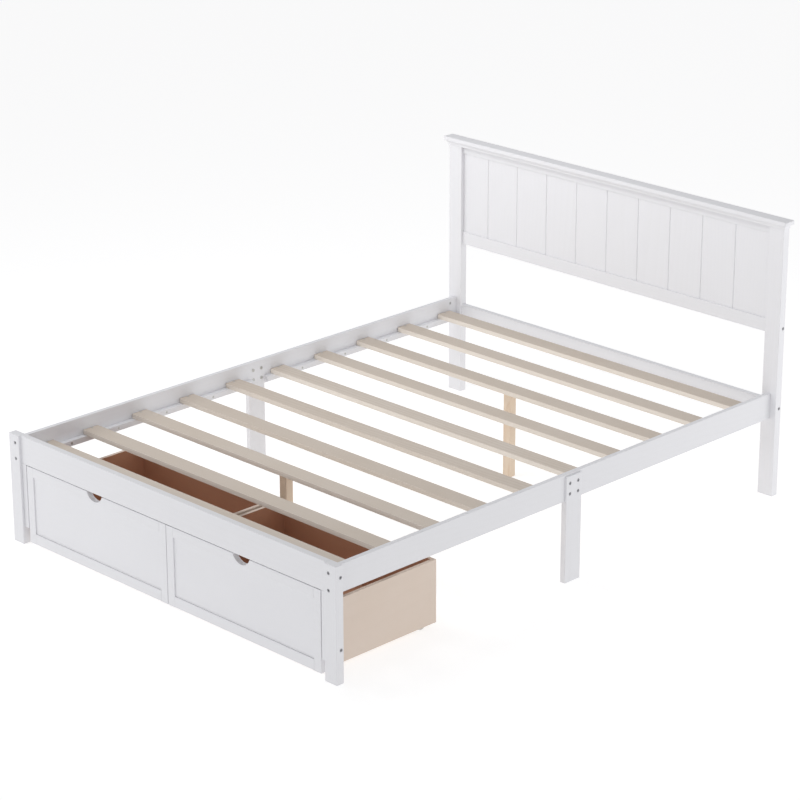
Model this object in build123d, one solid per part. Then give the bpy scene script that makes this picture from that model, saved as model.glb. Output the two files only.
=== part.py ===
from build123d import *
import os

# Full-size slatted platform bed with a low foot end that holds two pull-out drawers.
# Millimetres. X runs across the bed, Y from the foot to the head, Z up from the floor.
# The origin lies on the floor, in the middle of the outline.

LEFT, RIGHT = -1, 1
SIDES = {"left": LEFT, "right": RIGHT}

# ---------------------------------------------------------------- mattress and clearances
mattress_width = 1372
mattress_length = 1905
mattress_side_gap = 6        # between the mattress and each side rail
rail_run_extra = 17          # side rails are this much longer than the mattress
edge_round = 1.5             # eased edges of the boards
slip = 0.1                   # a pin, dowel or bolt in its hole, across the diameter
board_gap = 0.2              # tongued boards and panels in their grooves
end_relief = 1               # a bolt or dowel hole runs this much deeper than its bolt or dowel
overshoot = 1                # how far a cutting shape runs past the face it leaves

# ---------------------------------------------------------------- side rails and their cleats
rail_thickness = 16
rail_height = 86
rail_top = 352
rail_foot_half = 970         # length of the half nearer the foot, up to the mid leg
cleat_width = 18
cleat_height = 19
cleat_end_gap = 6
cleat_splice_gap = 32        # each cleat stops this far from the splice
cleat_screw_margin = 15      # least distance from a cleat's end to its first screw

# ---------------------------------------------------------------- slats and centre legs
slat_count = 10
slat_width = 60
slat_thickness = 16
slat_first = 82              # from the foot posts' back face to the first slat's middle
slat_second = 261            # the same, to the second slat's middle
slat_last = 66.6             # from the last slat's middle to the head posts' front face
slat_end_gap = 2
deck_top = 310               # upper face of the slats
centre_leg_width = 30
centre_leg_depth = 28
centre_leg_clearance = 2     # least gap between the foot centre leg and the drawers' backs
head_leg_slat = 8            # the slat that the head centre leg stands under

# ---------------------------------------------------------------- mid legs
mid_leg_width = 68
mid_leg_thickness = 20
mid_leg_proud = 7            # how far its outer face stands out from the rail
mid_leg_drop = 6             # its top below the rail's top
mid_leg_bolt_spread = 36
mid_leg_bolt_rise = 34

# ---------------------------------------------------------------- foot end
post_overhang = 22           # outer face of a post beyond the rail's outer face
post_depth = 28
foot_post_width = 48
foot_height = 362
foot_rail_height = 92
foot_rail_thickness = 20
filler_width = 20
filler_bottom = 58

# ---------------------------------------------------------------- headboard
head_post_width = 58
cross_rail_height = 50
cross_rail_thickness = 20
cross_rail_top = 325
head_rail_thickness = 18
head_rail_low = 549          # lower edge of the headboard's bottom rail
head_bottom_rail_height = 45
head_top_rail_height = 39
panel_height = 284           # visible height of the boards
board_count = 10
board_spread = 1.009         # pitch of the joints between the boards, as a share of an even pitch
board_shift = 14             # the joints lie this far left of the middle
board_thickness = 8
board_recess = 4             # boards behind the rails' front faces
board_lap = 8                # boards inside the rails' grooves
board_end_lap = 6            # end boards inside the posts' grooves
board_bevel = 2.2
tongue_length = 5
tongue_thickness = 2.6
cap_thickness = 15
cap_side_overhang = 16
cap_front_overhang = 14
cap_back_overhang = 4
cap_round = 3.5
crown_height = 14
crown_reach = 9
crown_foot = 2.5             # thickness of the crown at its lower edge
crown_lip = 2                # straight edge above and below the crown's hollow
crown_hollow = 0.95          # radius of the hollow, as a share of the crown's height

# ---------------------------------------------------------------- drawers
drawer_middle_gap = 2
drawer_filler_gap = 3
drawer_top_gap = 2
drawer_front_low = 12
front_thickness = 18
stile_width = 30
front_top_rail = 32
front_bottom_rail = 35
front_panel_thickness = 5
front_panel_recess = 4
front_panel_lap = 6
pull_width = 72
pull_depth = 25
box_inset = 5                # box sides behind the ends of the front
box_low = 16
box_height = 200
box_depth = 446              # from the back of the front to the back of the box
box_wall = 12
bottom_thickness = 6
bottom_level = 36            # underside of the drawer bottom
bottom_lap = 6

# ---------------------------------------------------------------- casters
wheel_diameter = 32
wheel_width = 12
wheel_crown = 1.5            # rounding of the tread's edges
wheel_rim_share = 0.72       # ring sunk in each face: its outer and inner diameters as shares
wheel_hub_share = 0.38
wheel_recess = 1.5
axle_diameter = 5
wheel_bore_clearance = 0.16
cheek_thickness = 1.5
cheek_gap = 1                # wheel to cheek
cheek_end_radius = 7
caster_plate = 2
caster_plate_length = 46
caster_plate_corner = 3
cheek_root_share = 0.6       # width of a cheek where it leaves the plate, as a share of the plate
cheek_root_height = 0.5
axle_head = 1
axle_head_diameter = 7.5
caster_wall_gap = 0.5        # axle head to the drawer side
caster_setback = 45          # wheel centre from the front's back face and from the box's back

# ---------------------------------------------------------------- hardware
bolt_diameter = 6
bolt_head_diameter = 10
bolt_head_height = 4
bolt_socket = 5
bolt_socket_depth = 2.5
bolt_sink = 0.8              # head below the surface
counterbore = 11
bolt_reach = 45              # thread inside the second member
bolt_rise = 52               # between the two bolts at a rail's end
barrel_diameter = 10
barrel_length = 13
barrel_setback = 32          # barrel nut's middle from the end of its member
sleeve_diameter = 8
sleeve_flange = 12
sleeve_flange_thickness = 1.5
filler_bolt_level = 105
filler_bolt_cover = 4        # wood left between the bolt's tip and the filler's free face
foot_rail_bolt_level = 325
sleeve_skin = 0.5            # closed end of the sleeve nut
sleeve_short = 3             # the sleeve stops this far from the rail's outer face
dowel_diameter = 8
dowel_length = 30
cap_dowel_length = 22        # these stop inside the cap
top_dowel_pitch = 13         # between the two dowels at each end of the headboard's top rail
foot_dowel_share = 0.28      # dowel's level in the foot rail, as a share of the rail's height
cross_dowel_share = 0.3      # dowels above and below the cross rail's middle, as a share of its height
screw_diameter = 4
screw_head = 8
screw_length = 28
screw_relief = 0.5
screw_cross_length = 0.55    # the cross in the head, as shares of the head's diameter
screw_cross_width = 0.12
screw_cross_depth = 1
screw_point_share = 0.25     # the tip's diameter, as a share of the shank's
cam_diameter = 15
cam_depth = 9
cam_setback = 24
cam_pin_depth = 10
cam_level_inset = 30         # from the drawer bottom and from the side's top edge
back_screw_shares = (0.3, 0.6, 0.9)    # levels of the back's screws, as shares of the side's height
plate_screw_diameter = 3
plate_screw_head = 5.6
plate_screw_length = 6.5
plate_screw_inset = 5        # from each end of the plate

# ---------------------------------------------------------------- places worked out from the sizes
inner_x = mattress_width / 2 + mattress_side_gap
rail_x = inner_x + rail_thickness                    # rail's outer face
rail_mid_x = inner_x + rail_thickness / 2
outer_x = rail_x + post_overhang                     # post's outer face
rail_run = mattress_length + rail_run_extra
overall_length = rail_run + 2 * post_depth + cap_back_overhang
foot_y = -overall_length / 2                         # front of the foot posts
rail_start_y = foot_y + post_depth                   # back of the foot posts
splice_y = rail_start_y + rail_foot_half
head_y = rail_start_y + rail_run                     # front of the head posts
slat_pitch = (rail_run - slat_second - slat_last) / (slat_count - 2)
head_back_y = head_y + post_depth
rail_low = rail_top - rail_height
rail_mid_z = rail_low + rail_height / 2
slat_low = deck_top - slat_thickness
cleat_low = slat_low - cleat_height
foot_inner_x = outer_x - foot_post_width
foot_rail_low = foot_height - foot_rail_height
foot_rail_y = rail_start_y - foot_rail_thickness     # front face of the foot rail
head_inner_x = outer_x - head_post_width
head_panel_low = head_rail_low + head_bottom_rail_height
head_panel_top = head_panel_low + panel_height
head_post_top = head_panel_top + head_top_rail_height
head_rail_y = head_back_y - head_rail_thickness
board_y = head_rail_y + board_recess
wheel_radius = wheel_diameter / 2

nodes = {}


def add(name, *solids):
    """Files solids under a node; a node may hold several separate pieces."""
    nodes.setdefault(name, []).extend(solids)


def block(x0, x1, y0, y1, z0, z1):
    size = (abs(x1 - x0), abs(y1 - y0), abs(z1 - z0))
    return Pos((x0 + x1) / 2, (y0 + y1) / 2, (z0 + z1) / 2) * Box(*size)


def eased(solid, axis=None, radius=edge_round):
    """Rounds a board's edges: those along one axis, or all of them."""
    edges = solid.edges() if axis is None else solid.edges().filter_by(axis)
    return fillet(edges, radius)


def rod(point, direction, diameter, length):
    """A cylinder that starts at a point and runs in a direction."""
    start = Plane(origin=point, z_dir=direction).location
    return start * Cylinder(diameter / 2, length, align=(Align.CENTER, Align.CENTER, Align.MIN))


def along(point, direction, distance):
    return tuple(p + d * distance for p, d in zip(point, direction))


def mirrored(side, *values):
    """Turns distances from the centre line into X on the given side."""
    return [side * value for value in values]


# ---------------------------------------------------------------- fasteners
def bolt(face, direction, length):
    """Socket-head bolt, with its head sunk just under the face it enters."""
    seat = along(face, direction, bolt_sink + bolt_head_height)
    head = rod(along(face, direction, bolt_sink), direction, bolt_head_diameter, bolt_head_height)
    shank = rod(seat, direction, bolt_diameter, length)
    hexagon = extrude(RegularPolygon(bolt_socket / 2, 6, major_radius=False), bolt_socket_depth)
    socket = Plane(origin=along(face, direction, bolt_sink), z_dir=direction).location * hexagon
    return head + shank - socket


def bolt_hole(face, direction, length):
    depth = bolt_sink + bolt_head_height
    wide = rod(face, direction, counterbore, depth)
    return wide + rod(along(face, direction, depth), direction, bolt_diameter + slip, length + end_relief)


def screw(face, direction, length=screw_length, diameter=screw_diameter, head=screw_head):
    """Countersunk wood screw, flush with the face it enters."""
    cone_height = (head - diameter) / 2
    tip_height = diameter
    cone = Cone(head / 2, diameter / 2, cone_height, align=(Align.CENTER, Align.CENTER, Align.MIN))
    start = Plane(origin=face, z_dir=direction).location
    shank = rod(along(face, direction, cone_height), direction, diameter, length - cone_height - tip_height)
    tip = Plane(origin=along(face, direction, length - tip_height), z_dir=direction).location * Cone(
        diameter / 2, diameter * screw_point_share / 2, tip_height,
        align=(Align.CENTER, Align.CENTER, Align.MIN),
    )
    long, short = head * screw_cross_length, head * screw_cross_width
    slot = start * extrude(Rectangle(long, short) + Rectangle(short, long), screw_cross_depth)
    return start * cone + shank + tip - slot


def screw_hole(face, direction, length=screw_length, diameter=screw_diameter, head=screw_head):
    cone_height = (head - diameter) / 2
    cone = Plane(origin=face, z_dir=direction).location * Cone(
        (head + slip) / 2, (diameter + slip) / 2, cone_height, align=(Align.CENTER, Align.CENTER, Align.MIN)
    )
    return cone + rod(face, direction, diameter + slip, length + screw_relief)


def barrel_nut(entry, direction, bolt_point, bolt_direction):
    """Cross dowel: a short steel barrel that the bolt screws into from the side."""
    barrel = rod(entry, direction, barrel_diameter, barrel_length)
    start = along(bolt_point, bolt_direction, -barrel_diameter)
    return barrel - rod(start, bolt_direction, bolt_diameter + slip, 2 * barrel_diameter)


def barrel_hole(entry, direction):
    return rod(entry, direction, barrel_diameter + slip, barrel_length + slip)


# ---------------------------------------------------------------- bolted corners
# Each joint has a bolt through a post and a barrel nut in the end of the rail that it pulls in.
def corner_joint(face, direction, post_thickness, nut_side, member_half):
    """Returns the bolt, its nut, the cut for the post and the cut for the rail."""
    end = along(face, direction, post_thickness)
    length = post_thickness - bolt_sink - bolt_head_height + bolt_reach
    nut_middle = along(end, direction, barrel_setback)
    nut_entry = along(nut_middle, nut_side, member_half)
    inward = tuple(-n for n in nut_side)
    hole = bolt_hole(face, direction, length)
    nut = barrel_nut(nut_entry, inward, nut_middle, direction)
    return bolt(face, direction, length), nut, hole, hole + barrel_hole(nut_entry, inward)


def side_rail_joints(side, head_end):
    """The two joints between a side rail's end and its post."""
    start = head_back_y if head_end else foot_y
    direction = (0, -1, 0) if head_end else (0, 1, 0)
    levels = (rail_mid_z - bolt_rise / 2, rail_mid_z + bolt_rise / 2)
    faces = [(side * rail_mid_x, start, level) for level in levels]
    return [corner_joint(f, direction, post_depth, (-side, 0, 0), rail_thickness / 2) for f in faces]


def cross_joint(side, post_width, y, z, member_thickness):
    """The joint between a post and a rail that runs across the bed, its nut entering from behind."""
    face = (side * outer_x, y, z)
    return corner_joint(face, (-side, 0, 0), post_width, (0, 1, 0), member_thickness / 2)


def filler_joint(side):
    """The bolt that holds a filler strip to its foot post."""
    face = (side * outer_x, foot_rail_y + foot_rail_thickness / 2, filler_bolt_level)
    length = foot_post_width - bolt_sink - bolt_head_height + filler_width - filler_bolt_cover
    return bolt(face, (-side, 0, 0), length), bolt_hole(face, (-side, 0, 0), length)


def dowel(point, direction, length=dowel_length):
    """Fluteless beech dowel, centred on the joint between two members."""
    return rod(along(point, direction, -length / 2), direction, dowel_diameter, length)


def dowel_hole(point, direction, length=dowel_length):
    depth = length + end_relief
    return rod(along(point, direction, -depth / 2), direction, dowel_diameter + slip, depth)


foot_rail_mid_y = foot_rail_y + foot_rail_thickness / 2
cross_rail_y = head_back_y - cross_rail_thickness
cross_rail_mid_y = cross_rail_y + cross_rail_thickness / 2
cross_rail_mid_z = cross_rail_top - cross_rail_height / 2
head_rail_mid_y = head_rail_y + head_rail_thickness / 2
head_bottom_rail_mid_z = head_rail_low + head_bottom_rail_height / 2


def foot_dowels(side):
    level = foot_rail_low + foot_rail_height * foot_dowel_share
    return [((side * foot_inner_x, foot_rail_mid_y, level), (1, 0, 0))]


def head_dowels(side):
    x = side * head_inner_x
    levels = [
        (cross_rail_mid_y, cross_rail_mid_z - cross_rail_height * cross_dowel_share),
        (cross_rail_mid_y, cross_rail_mid_z + cross_rail_height * cross_dowel_share),
        (head_rail_mid_y, head_rail_low + dowel_diameter),
        (head_rail_mid_y, head_post_top - dowel_diameter),
        (head_rail_mid_y, head_post_top - dowel_diameter - top_dowel_pitch),
    ]
    return [((x, y, z), (1, 0, 0)) for y, z in levels]


def cap_dowels():
    """Places of the dowels that hold the cap, for dowel and dowel_hole."""
    post_x = outer_x - head_post_width / 2
    post_y = head_y + post_depth / 2
    across = [(x, head_rail_mid_y) for x in (-head_inner_x / 2, 0, head_inner_x / 2)]
    places = [(-post_x, post_y), *across, (post_x, post_y)]
    return [((x, y, head_post_top), (0, 0, 1), cap_dowel_length) for x, y in places]


def cut_all(solid, cutters):
    for cutter in cutters:
        solid = solid - cutter
    return solid


# ---------------------------------------------------------------- foot end
def build_foot_end():
    rail_cuts = []
    for name, side in SIDES.items():
        joints = side_rail_joints(side, head_end=False)
        rail_joint = cross_joint(
            side, foot_post_width, foot_rail_mid_y, foot_rail_bolt_level, foot_rail_thickness
        )
        filler_bolt, filler_cut = filler_joint(side)
        dowels = foot_dowels(side)
        x_out, x_in, x_free = mirrored(side, outer_x, foot_inner_x, foot_inner_x - filler_width)

        post = eased(block(x_out, x_in, foot_y, rail_start_y, 0, foot_height))
        post = cut_all(post, [j[2] for j in joints] + [rail_joint[2], filler_cut])
        post = cut_all(post, [dowel_hole(*d) for d in dowels])
        add(f"foot_post_{name}", post)

        strip = eased(block(x_in, x_free, foot_rail_y, rail_start_y, filler_bottom, foot_rail_low), Axis.Z)
        add(f"foot_filler_{name}", strip - filler_cut)

        rail_cuts += [rail_joint[3]] + [dowel_hole(*d) for d in dowels]
        add("frame_bolts", *[j[0] for j in joints], rail_joint[0], filler_bolt)
        add("barrel_nuts", *[j[1] for j in joints], rail_joint[1])
        add("dowels", *[dowel(*d) for d in dowels])

    rail = block(-foot_inner_x, foot_inner_x, foot_rail_y, rail_start_y, foot_rail_low, foot_height)
    add("foot_top_rail", cut_all(eased(rail, Axis.X), rail_cuts))


# ---------------------------------------------------------------- headboard
def build_head_posts():
    """Both head posts, grooved for the end boards; returns the cuts their joints make in the rails."""
    cuts = {"cross": [], "bottom": [], "top": []}
    for name, side in SIDES.items():
        rail_joints = side_rail_joints(side, head_end=True)
        joints = {
            "cross": cross_joint(
                side, head_post_width, cross_rail_mid_y, cross_rail_mid_z, cross_rail_thickness
            ),
            "bottom": cross_joint(
                side, head_post_width, head_rail_mid_y, head_bottom_rail_mid_z, head_rail_thickness
            ),
        }
        dowels = head_dowels(side)
        x_out, x_in = mirrored(side, outer_x, head_inner_x)
        x_groove = side * (head_inner_x + board_end_lap + board_gap)
        groove = block(
            x_in - side, x_groove, board_y - board_gap, board_y + board_thickness + board_gap,
            head_panel_low - board_lap - board_gap, head_panel_top + board_lap + board_gap,
        )
        post = eased(block(x_out, x_in, head_y, head_back_y, 0, head_post_top), Axis.Z)
        post = cut_all(post, [j[2] for j in rail_joints] + [j[2] for j in joints.values()])
        post = cut_all(post, [dowel_hole(*d) for d in dowels + cap_dowels()] + [groove])
        add(f"head_post_{name}", post)
        for key, joint in joints.items():
            cuts[key].append(joint[3])
            add("frame_bolts", joint[0])
            add("barrel_nuts", joint[1])
        for key in cuts:
            cuts[key] += [dowel_hole(*d) for d in dowels]
        add("frame_bolts", *[j[0] for j in rail_joints])
        add("barrel_nuts", *[j[1] for j in rail_joints])
        add("dowels", *[dowel(*d) for d in dowels])
    return cuts


def build_head_rails(cuts):
    groove_back = board_y + board_thickness + board_gap
    groove = block(
        -head_inner_x, head_inner_x, board_y - board_gap, groove_back,
        head_panel_low - board_lap - board_gap, head_panel_top + board_lap + board_gap,
    )
    bottom = block(-head_inner_x, head_inner_x, head_rail_y, head_back_y, head_rail_low, head_panel_low)
    bottom = cut_all(eased(bottom, Axis.X) - groove, cuts["bottom"])
    add("headboard_bottom_rail", bottom)

    top = block(-head_inner_x, head_inner_x, head_rail_y, head_back_y, head_panel_top, head_post_top)
    top_edges = top.edges().filter_by(Axis.X).group_by(Axis.Z)[0]
    top = fillet(top_edges, edge_round) - groove
    top = cut_all(top, cuts["top"] + [dowel_hole(*d) for d in cap_dowels()])
    add("headboard_top_rail", top)

    cross = block(
        -head_inner_x, head_inner_x, cross_rail_y, head_back_y,
        cross_rail_top - cross_rail_height, cross_rail_top,
    )
    add("head_cross_rail", cut_all(eased(cross, Axis.X), cuts["cross"]))


def build_head_boards():
    """Vertical tongued and grooved boards, bevelled so that a V shows at each joint."""
    pitch = 2 * head_inner_x / board_count * board_spread
    joints = [(index - board_count / 2) * pitch - board_shift for index in range(1, board_count)]
    bounds = [-head_inner_x, *joints, head_inner_x]
    low = head_panel_low - board_lap
    high = head_panel_top + board_lap
    middle_y = board_y + board_thickness / 2
    for index in range(board_count):
        first, last = index == 0, index == board_count - 1
        x0 = bounds[index] + board_gap / 2
        x1 = bounds[index + 1] - board_gap / 2
        x0 -= board_end_lap if first else 0
        x1 += board_end_lap if last else 0
        board = block(x0, x1, board_y, board_y + board_thickness, low, high)
        front_edges = board.edges().filter_by(Axis.Z).group_by(Axis.Y)[0].sort_by(Axis.X)
        shown = [front_edges[0]] * (not first) + [front_edges[-1]] * (not last)
        board = chamfer(shown, board_bevel)
        if not last:
            half = tongue_thickness / 2
            board += block(x1, x1 + tongue_length, middle_y - half, middle_y + half, low, high)
        if not first:
            half = tongue_thickness / 2 + board_gap
            depth = tongue_length + board_gap
            board -= block(
                x0, x0 + depth, middle_y - half, middle_y + half, low - overshoot, high + overshoot
            )
        add("headboard_boards", board)


def crown_profile():
    """Section of the crown: flat back, lower lip and a hollow that opens out to the cap."""
    top = crown_height
    upper, lower = (crown_reach, top - crown_lip), (crown_foot, crown_lip)
    with BuildLine() as outline:
        Polyline(lower, (crown_foot, 0), (0, 0), (0, top), (crown_reach, top), upper)
        RadiusArc(upper, lower, -crown_height * crown_hollow)
    return make_face(outline.line)


def build_cap():
    y0, y1 = head_y - cap_front_overhang, head_back_y + cap_back_overhang
    half = outer_x + cap_side_overhang
    cap = block(-half, half, y0, y1, head_post_top, head_post_top + cap_thickness)
    cap = cut_all(eased(cap, radius=cap_round), [dowel_hole(*d) for d in cap_dowels()])
    add("headboard_cap", cap)
    add("dowels", *[dowel(*d) for d in cap_dowels()])

    low = head_post_top - crown_height
    reach_x, reach_y = outer_x + crown_reach, head_y - crown_reach
    front = Plane(origin=(-reach_x, head_y, low), x_dir=(0, -1, 0), z_dir=(-1, 0, 0)) * crown_profile()
    front = extrude(front, 2 * reach_x, dir=(1, 0, 0))
    for side in SIDES.values():
        # The corner is mitred at 45 degrees: the front piece keeps the near side of the cut.
        corner = Pos(side * outer_x, head_y, low + crown_height / 2)
        far = extrude(make_face(Polyline(
            (0, 0), (side * 2 * crown_reach, -2 * crown_reach), (side * 2 * crown_reach, crown_reach), (0, 0)
        )), crown_height, both=True)
        front = front - corner * far
        profile = Plane(origin=(side * outer_x, reach_y, low), x_dir=(side, 0, 0), z_dir=(0, -side, 0))
        run = extrude(profile * crown_profile(), head_back_y - reach_y, dir=(0, 1, 0))
        near = extrude(make_face(Polyline(
            (0, 0), (side * 2 * crown_reach, -2 * crown_reach), (0, -2 * crown_reach), (0, 0)
        )), crown_height, both=True)
        add("headboard_crown", run - corner * near)
    add("headboard_crown", front)


# ---------------------------------------------------------------- side rails, cleats and mid legs
def mid_leg_bolt_points(side):
    top = rail_top - mid_leg_drop
    middle_z = (rail_low + top) / 2
    x = side * (rail_x + mid_leg_proud)
    return [
        (x, splice_y + along_y * mid_leg_bolt_spread / 2, middle_z + up * mid_leg_bolt_rise / 2)
        for along_y in (-1, 1) for up in (-1, 1)
    ]


def mid_leg_hardware(side, face):
    """Bolt from outside, and a flanged sleeve nut from inside the rail."""
    direction = (-side, 0, 0)
    through = mid_leg_proud + rail_thickness - bolt_sink - bolt_head_height
    inner = (side * inner_x, face[1], face[2])
    outward = (side, 0, 0)
    sleeve_length = rail_thickness - sleeve_short
    sleeve = rod(inner, outward, sleeve_diameter, sleeve_length)
    sleeve += rod(inner, direction, sleeve_flange, sleeve_flange_thickness)
    bore_start = along(inner, direction, sleeve_flange_thickness - sleeve_skin)
    bore_length = sleeve_length + sleeve_flange_thickness
    sleeve -= rod(bore_start, outward, bolt_diameter + slip, bore_length)
    sleeve_cut = rod(inner, outward, sleeve_diameter + slip, sleeve_length + screw_relief)
    return bolt(face, direction, through), sleeve, bolt_hole(face, direction, through), sleeve_cut


def build_sides():
    for name, side in SIDES.items():
        hardware = [mid_leg_hardware(side, p) for p in mid_leg_bolt_points(side)]
        leg_cuts = [h[2] for h in hardware]
        rail_cuts = [c for h in hardware for c in (h[2], h[3])]
        spans = {
            "foot": (rail_start_y, splice_y, side_rail_joints(side, head_end=False)),
            "head": (splice_y, head_y, side_rail_joints(side, head_end=True)),
        }
        for end, (y0, y1, joints) in spans.items():
            x_in, x_out = mirrored(side, inner_x, rail_x)
            rail = eased(block(x_in, x_out, y0, y1, rail_low, rail_top), Axis.Y)
            cleat, screws, screw_cuts = build_cleat(side, end)
            rail = cut_all(rail, [j[3] for j in joints] + rail_cuts + screw_cuts)
            add(f"side_rail_{name}_{end}", rail)
            add(f"cleats_{name}", cleat)
            add("wood_screws", *screws)

        x_out = side * (rail_x + mid_leg_proud)
        x_back = x_out - side * mid_leg_thickness
        y0, y1 = splice_y - mid_leg_width / 2, splice_y + mid_leg_width / 2
        leg = eased(block(x_out, x_back, y0, y1, 0, rail_top - mid_leg_drop))
        # The upper part is rebated, so the rails sit on a shoulder.
        leg -= block(
            side * rail_x, x_back - side * overshoot, y0 - overshoot, y1 + overshoot,
            rail_low, rail_top + overshoot,
        )
        add(f"mid_leg_{name}", cut_all(leg, leg_cuts))
        add("frame_bolts", *[h[0] for h in hardware])
        add("sleeve_nuts", *[h[1] for h in hardware])


def slat_positions():
    first = rail_start_y + slat_first
    rest = [rail_start_y + slat_second + slat_pitch * n for n in range(slat_count - 1)]
    return [first, *rest]


def slat_screw_point(side, y):
    return (side * (inner_x - cleat_width / 2), y, deck_top)


def cleat_span(end):
    if end == "foot":
        return rail_start_y + cleat_end_gap, splice_y - cleat_splice_gap
    return splice_y + cleat_splice_gap, head_y - cleat_end_gap


def build_cleat(side, end):
    """A ledge that carries the slats, screwed to the rail midway between the slats."""
    y0, y1 = cleat_span(end)
    x_wall, x_free = mirrored(side, inner_x, inner_x - cleat_width)
    cleat = eased(block(x_wall, x_free, y0, y1, cleat_low, slat_low), Axis.Y)
    slats = slat_positions()
    holes = [screw_hole(slat_screw_point(side, y), (0, 0, -1)) for y in slats if y0 < y < y1]
    middles = [(a + b) / 2 for a, b in zip(slats, slats[1:])]
    reach = (y0 + cleat_screw_margin, y1 - cleat_screw_margin)
    points = [(x_free, y, cleat_low + cleat_height / 2) for y in middles if reach[0] < y < reach[1]]
    cuts = [screw_hole(p, (side, 0, 0)) for p in points]
    return cut_all(cleat, holes + cuts), [screw(p, (side, 0, 0)) for p in points], cuts


# ---------------------------------------------------------------- deck
def centre_leg_slats():
    """The foot leg stands under the first slat that lies clear behind the drawers."""
    clear_y = box_back_y + centre_leg_clearance + centre_leg_depth / 2
    foot_leg_slat = next(n for n, y in enumerate(slat_positions(), start=1) if y >= clear_y)
    return {foot_leg_slat: "foot", head_leg_slat: "head"}


def build_deck():
    half = inner_x - slat_end_gap
    leg_slats = centre_leg_slats()
    for number, y in enumerate(slat_positions(), start=1):
        slat = eased(block(-half, half, y - slat_width / 2, y + slat_width / 2, slat_low, deck_top), Axis.X)
        ends = [slat_screw_point(side, y) for side in SIDES.values()]
        slat = cut_all(slat, [screw_hole(p, (0, 0, -1)) for p in ends])
        add("wood_screws", *[screw(p, (0, 0, -1)) for p in ends])
        if number in leg_slats:
            joint = corner_joint(
                (0, y, deck_top), (0, 0, -1), slat_thickness, (0, 1, 0), centre_leg_depth / 2
            )
            slat -= joint[2]
            build_centre_leg(leg_slats[number], y, joint[3])
            add("frame_bolts", joint[0])
            add("barrel_nuts", joint[1])
        add(f"slat_{number:02d}", slat)


def build_centre_leg(end, y, joint_cut):
    """Leg under a slat, drawn up to it by a bolt and a barrel nut."""
    leg = block(
        -centre_leg_width / 2, centre_leg_width / 2,
        y - centre_leg_depth / 2, y + centre_leg_depth / 2, 0, slat_low,
    )
    add(f"centre_leg_{end}", eased(leg, Axis.Z) - joint_cut)


# ---------------------------------------------------------------- drawers
front_y = foot_rail_y
front_back_y = front_y + front_thickness
front_top = foot_rail_low - drawer_top_gap
front_inner = drawer_middle_gap / 2
front_outer = foot_inner_x - filler_width - drawer_filler_gap
box_inner = front_inner + box_inset
box_outer = front_outer - box_inset
box_back_y = front_back_y + box_depth
box_top = box_low + box_height


def build_drawer_front(name, side):
    """Framed front: two stiles, two rails with a finger pull in the upper one, and a thin panel."""
    groove_y0 = front_y + front_panel_recess
    groove_y1 = groove_y0 + front_panel_thickness
    inner, outer = front_inner + stile_width, front_outer - stile_width
    low, high = drawer_front_low + front_bottom_rail, front_top - front_top_rail

    def panel_block(extra):
        lap = front_panel_lap + extra
        return block(
            *mirrored(side, inner - lap, outer + lap), groove_y0 - extra, groove_y1 + extra,
            low - lap, high + lap,
        )

    groove = panel_block(board_gap)
    add(f"drawer_{name}_panel", panel_block(0))

    pins = [cam_pin_hole(side, x, z) for x in box_wall_middles() for z in cam_levels()]
    stiles = [(front_inner, inner), (outer, front_outer)]
    for x0, x1 in stiles:
        stile = block(*mirrored(side, x0, x1), front_y, front_back_y, drawer_front_low, front_top)
        add(f"drawer_{name}_front", cut_all(eased(stile, Axis.Z), [groove] + pins))

    bottom = block(*mirrored(side, inner, outer), front_y, front_back_y, drawer_front_low, low)
    add(f"drawer_{name}_front", eased(bottom, Axis.X) - groove)

    half = pull_width / 2
    radius = (half ** 2 + pull_depth ** 2) / (2 * pull_depth)
    middle = side * (front_inner + front_outer) / 2
    centre = (middle, front_y - overshoot, front_top - pull_depth + radius)
    pull = rod(centre, (0, 1, 0), 2 * radius, front_thickness + 2 * overshoot)
    top = eased(block(*mirrored(side, inner, outer), front_y, front_back_y, high, front_top), Axis.X)
    add(f"drawer_{name}_front", top - groove - pull)


def box_wall_middles():
    return (box_inner + box_wall / 2, box_outer - box_wall / 2)


def cam_levels():
    return (bottom_level + bottom_thickness + cam_level_inset, box_top - cam_level_inset)


def cam_pin_hole(side, x, z):
    start = (side * x, front_back_y - cam_pin_depth, z)
    return rod(start, (0, 1, 0), bolt_diameter + slip, cam_pin_depth + cam_setback)


def cam_fitting(side, x, z, face_x):
    """Cam lock: a disc in the box side turns on a pin that is screwed into the front."""
    inward = 1 if face_x > x else -1
    face = (side * face_x, front_back_y + cam_setback, z)
    into_wall = (-side * inward, 0, 0)
    disc = rod(face, into_wall, cam_diameter, cam_depth)
    start = (side * x, front_back_y - cam_pin_depth, z)
    pin = rod(start, (0, 1, 0), bolt_diameter, cam_pin_depth + cam_setback - cam_diameter / 2)
    cut = rod(face, into_wall, cam_diameter + slip, cam_depth)
    return disc - cam_pin_hole(side, x, z), pin, cut


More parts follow.
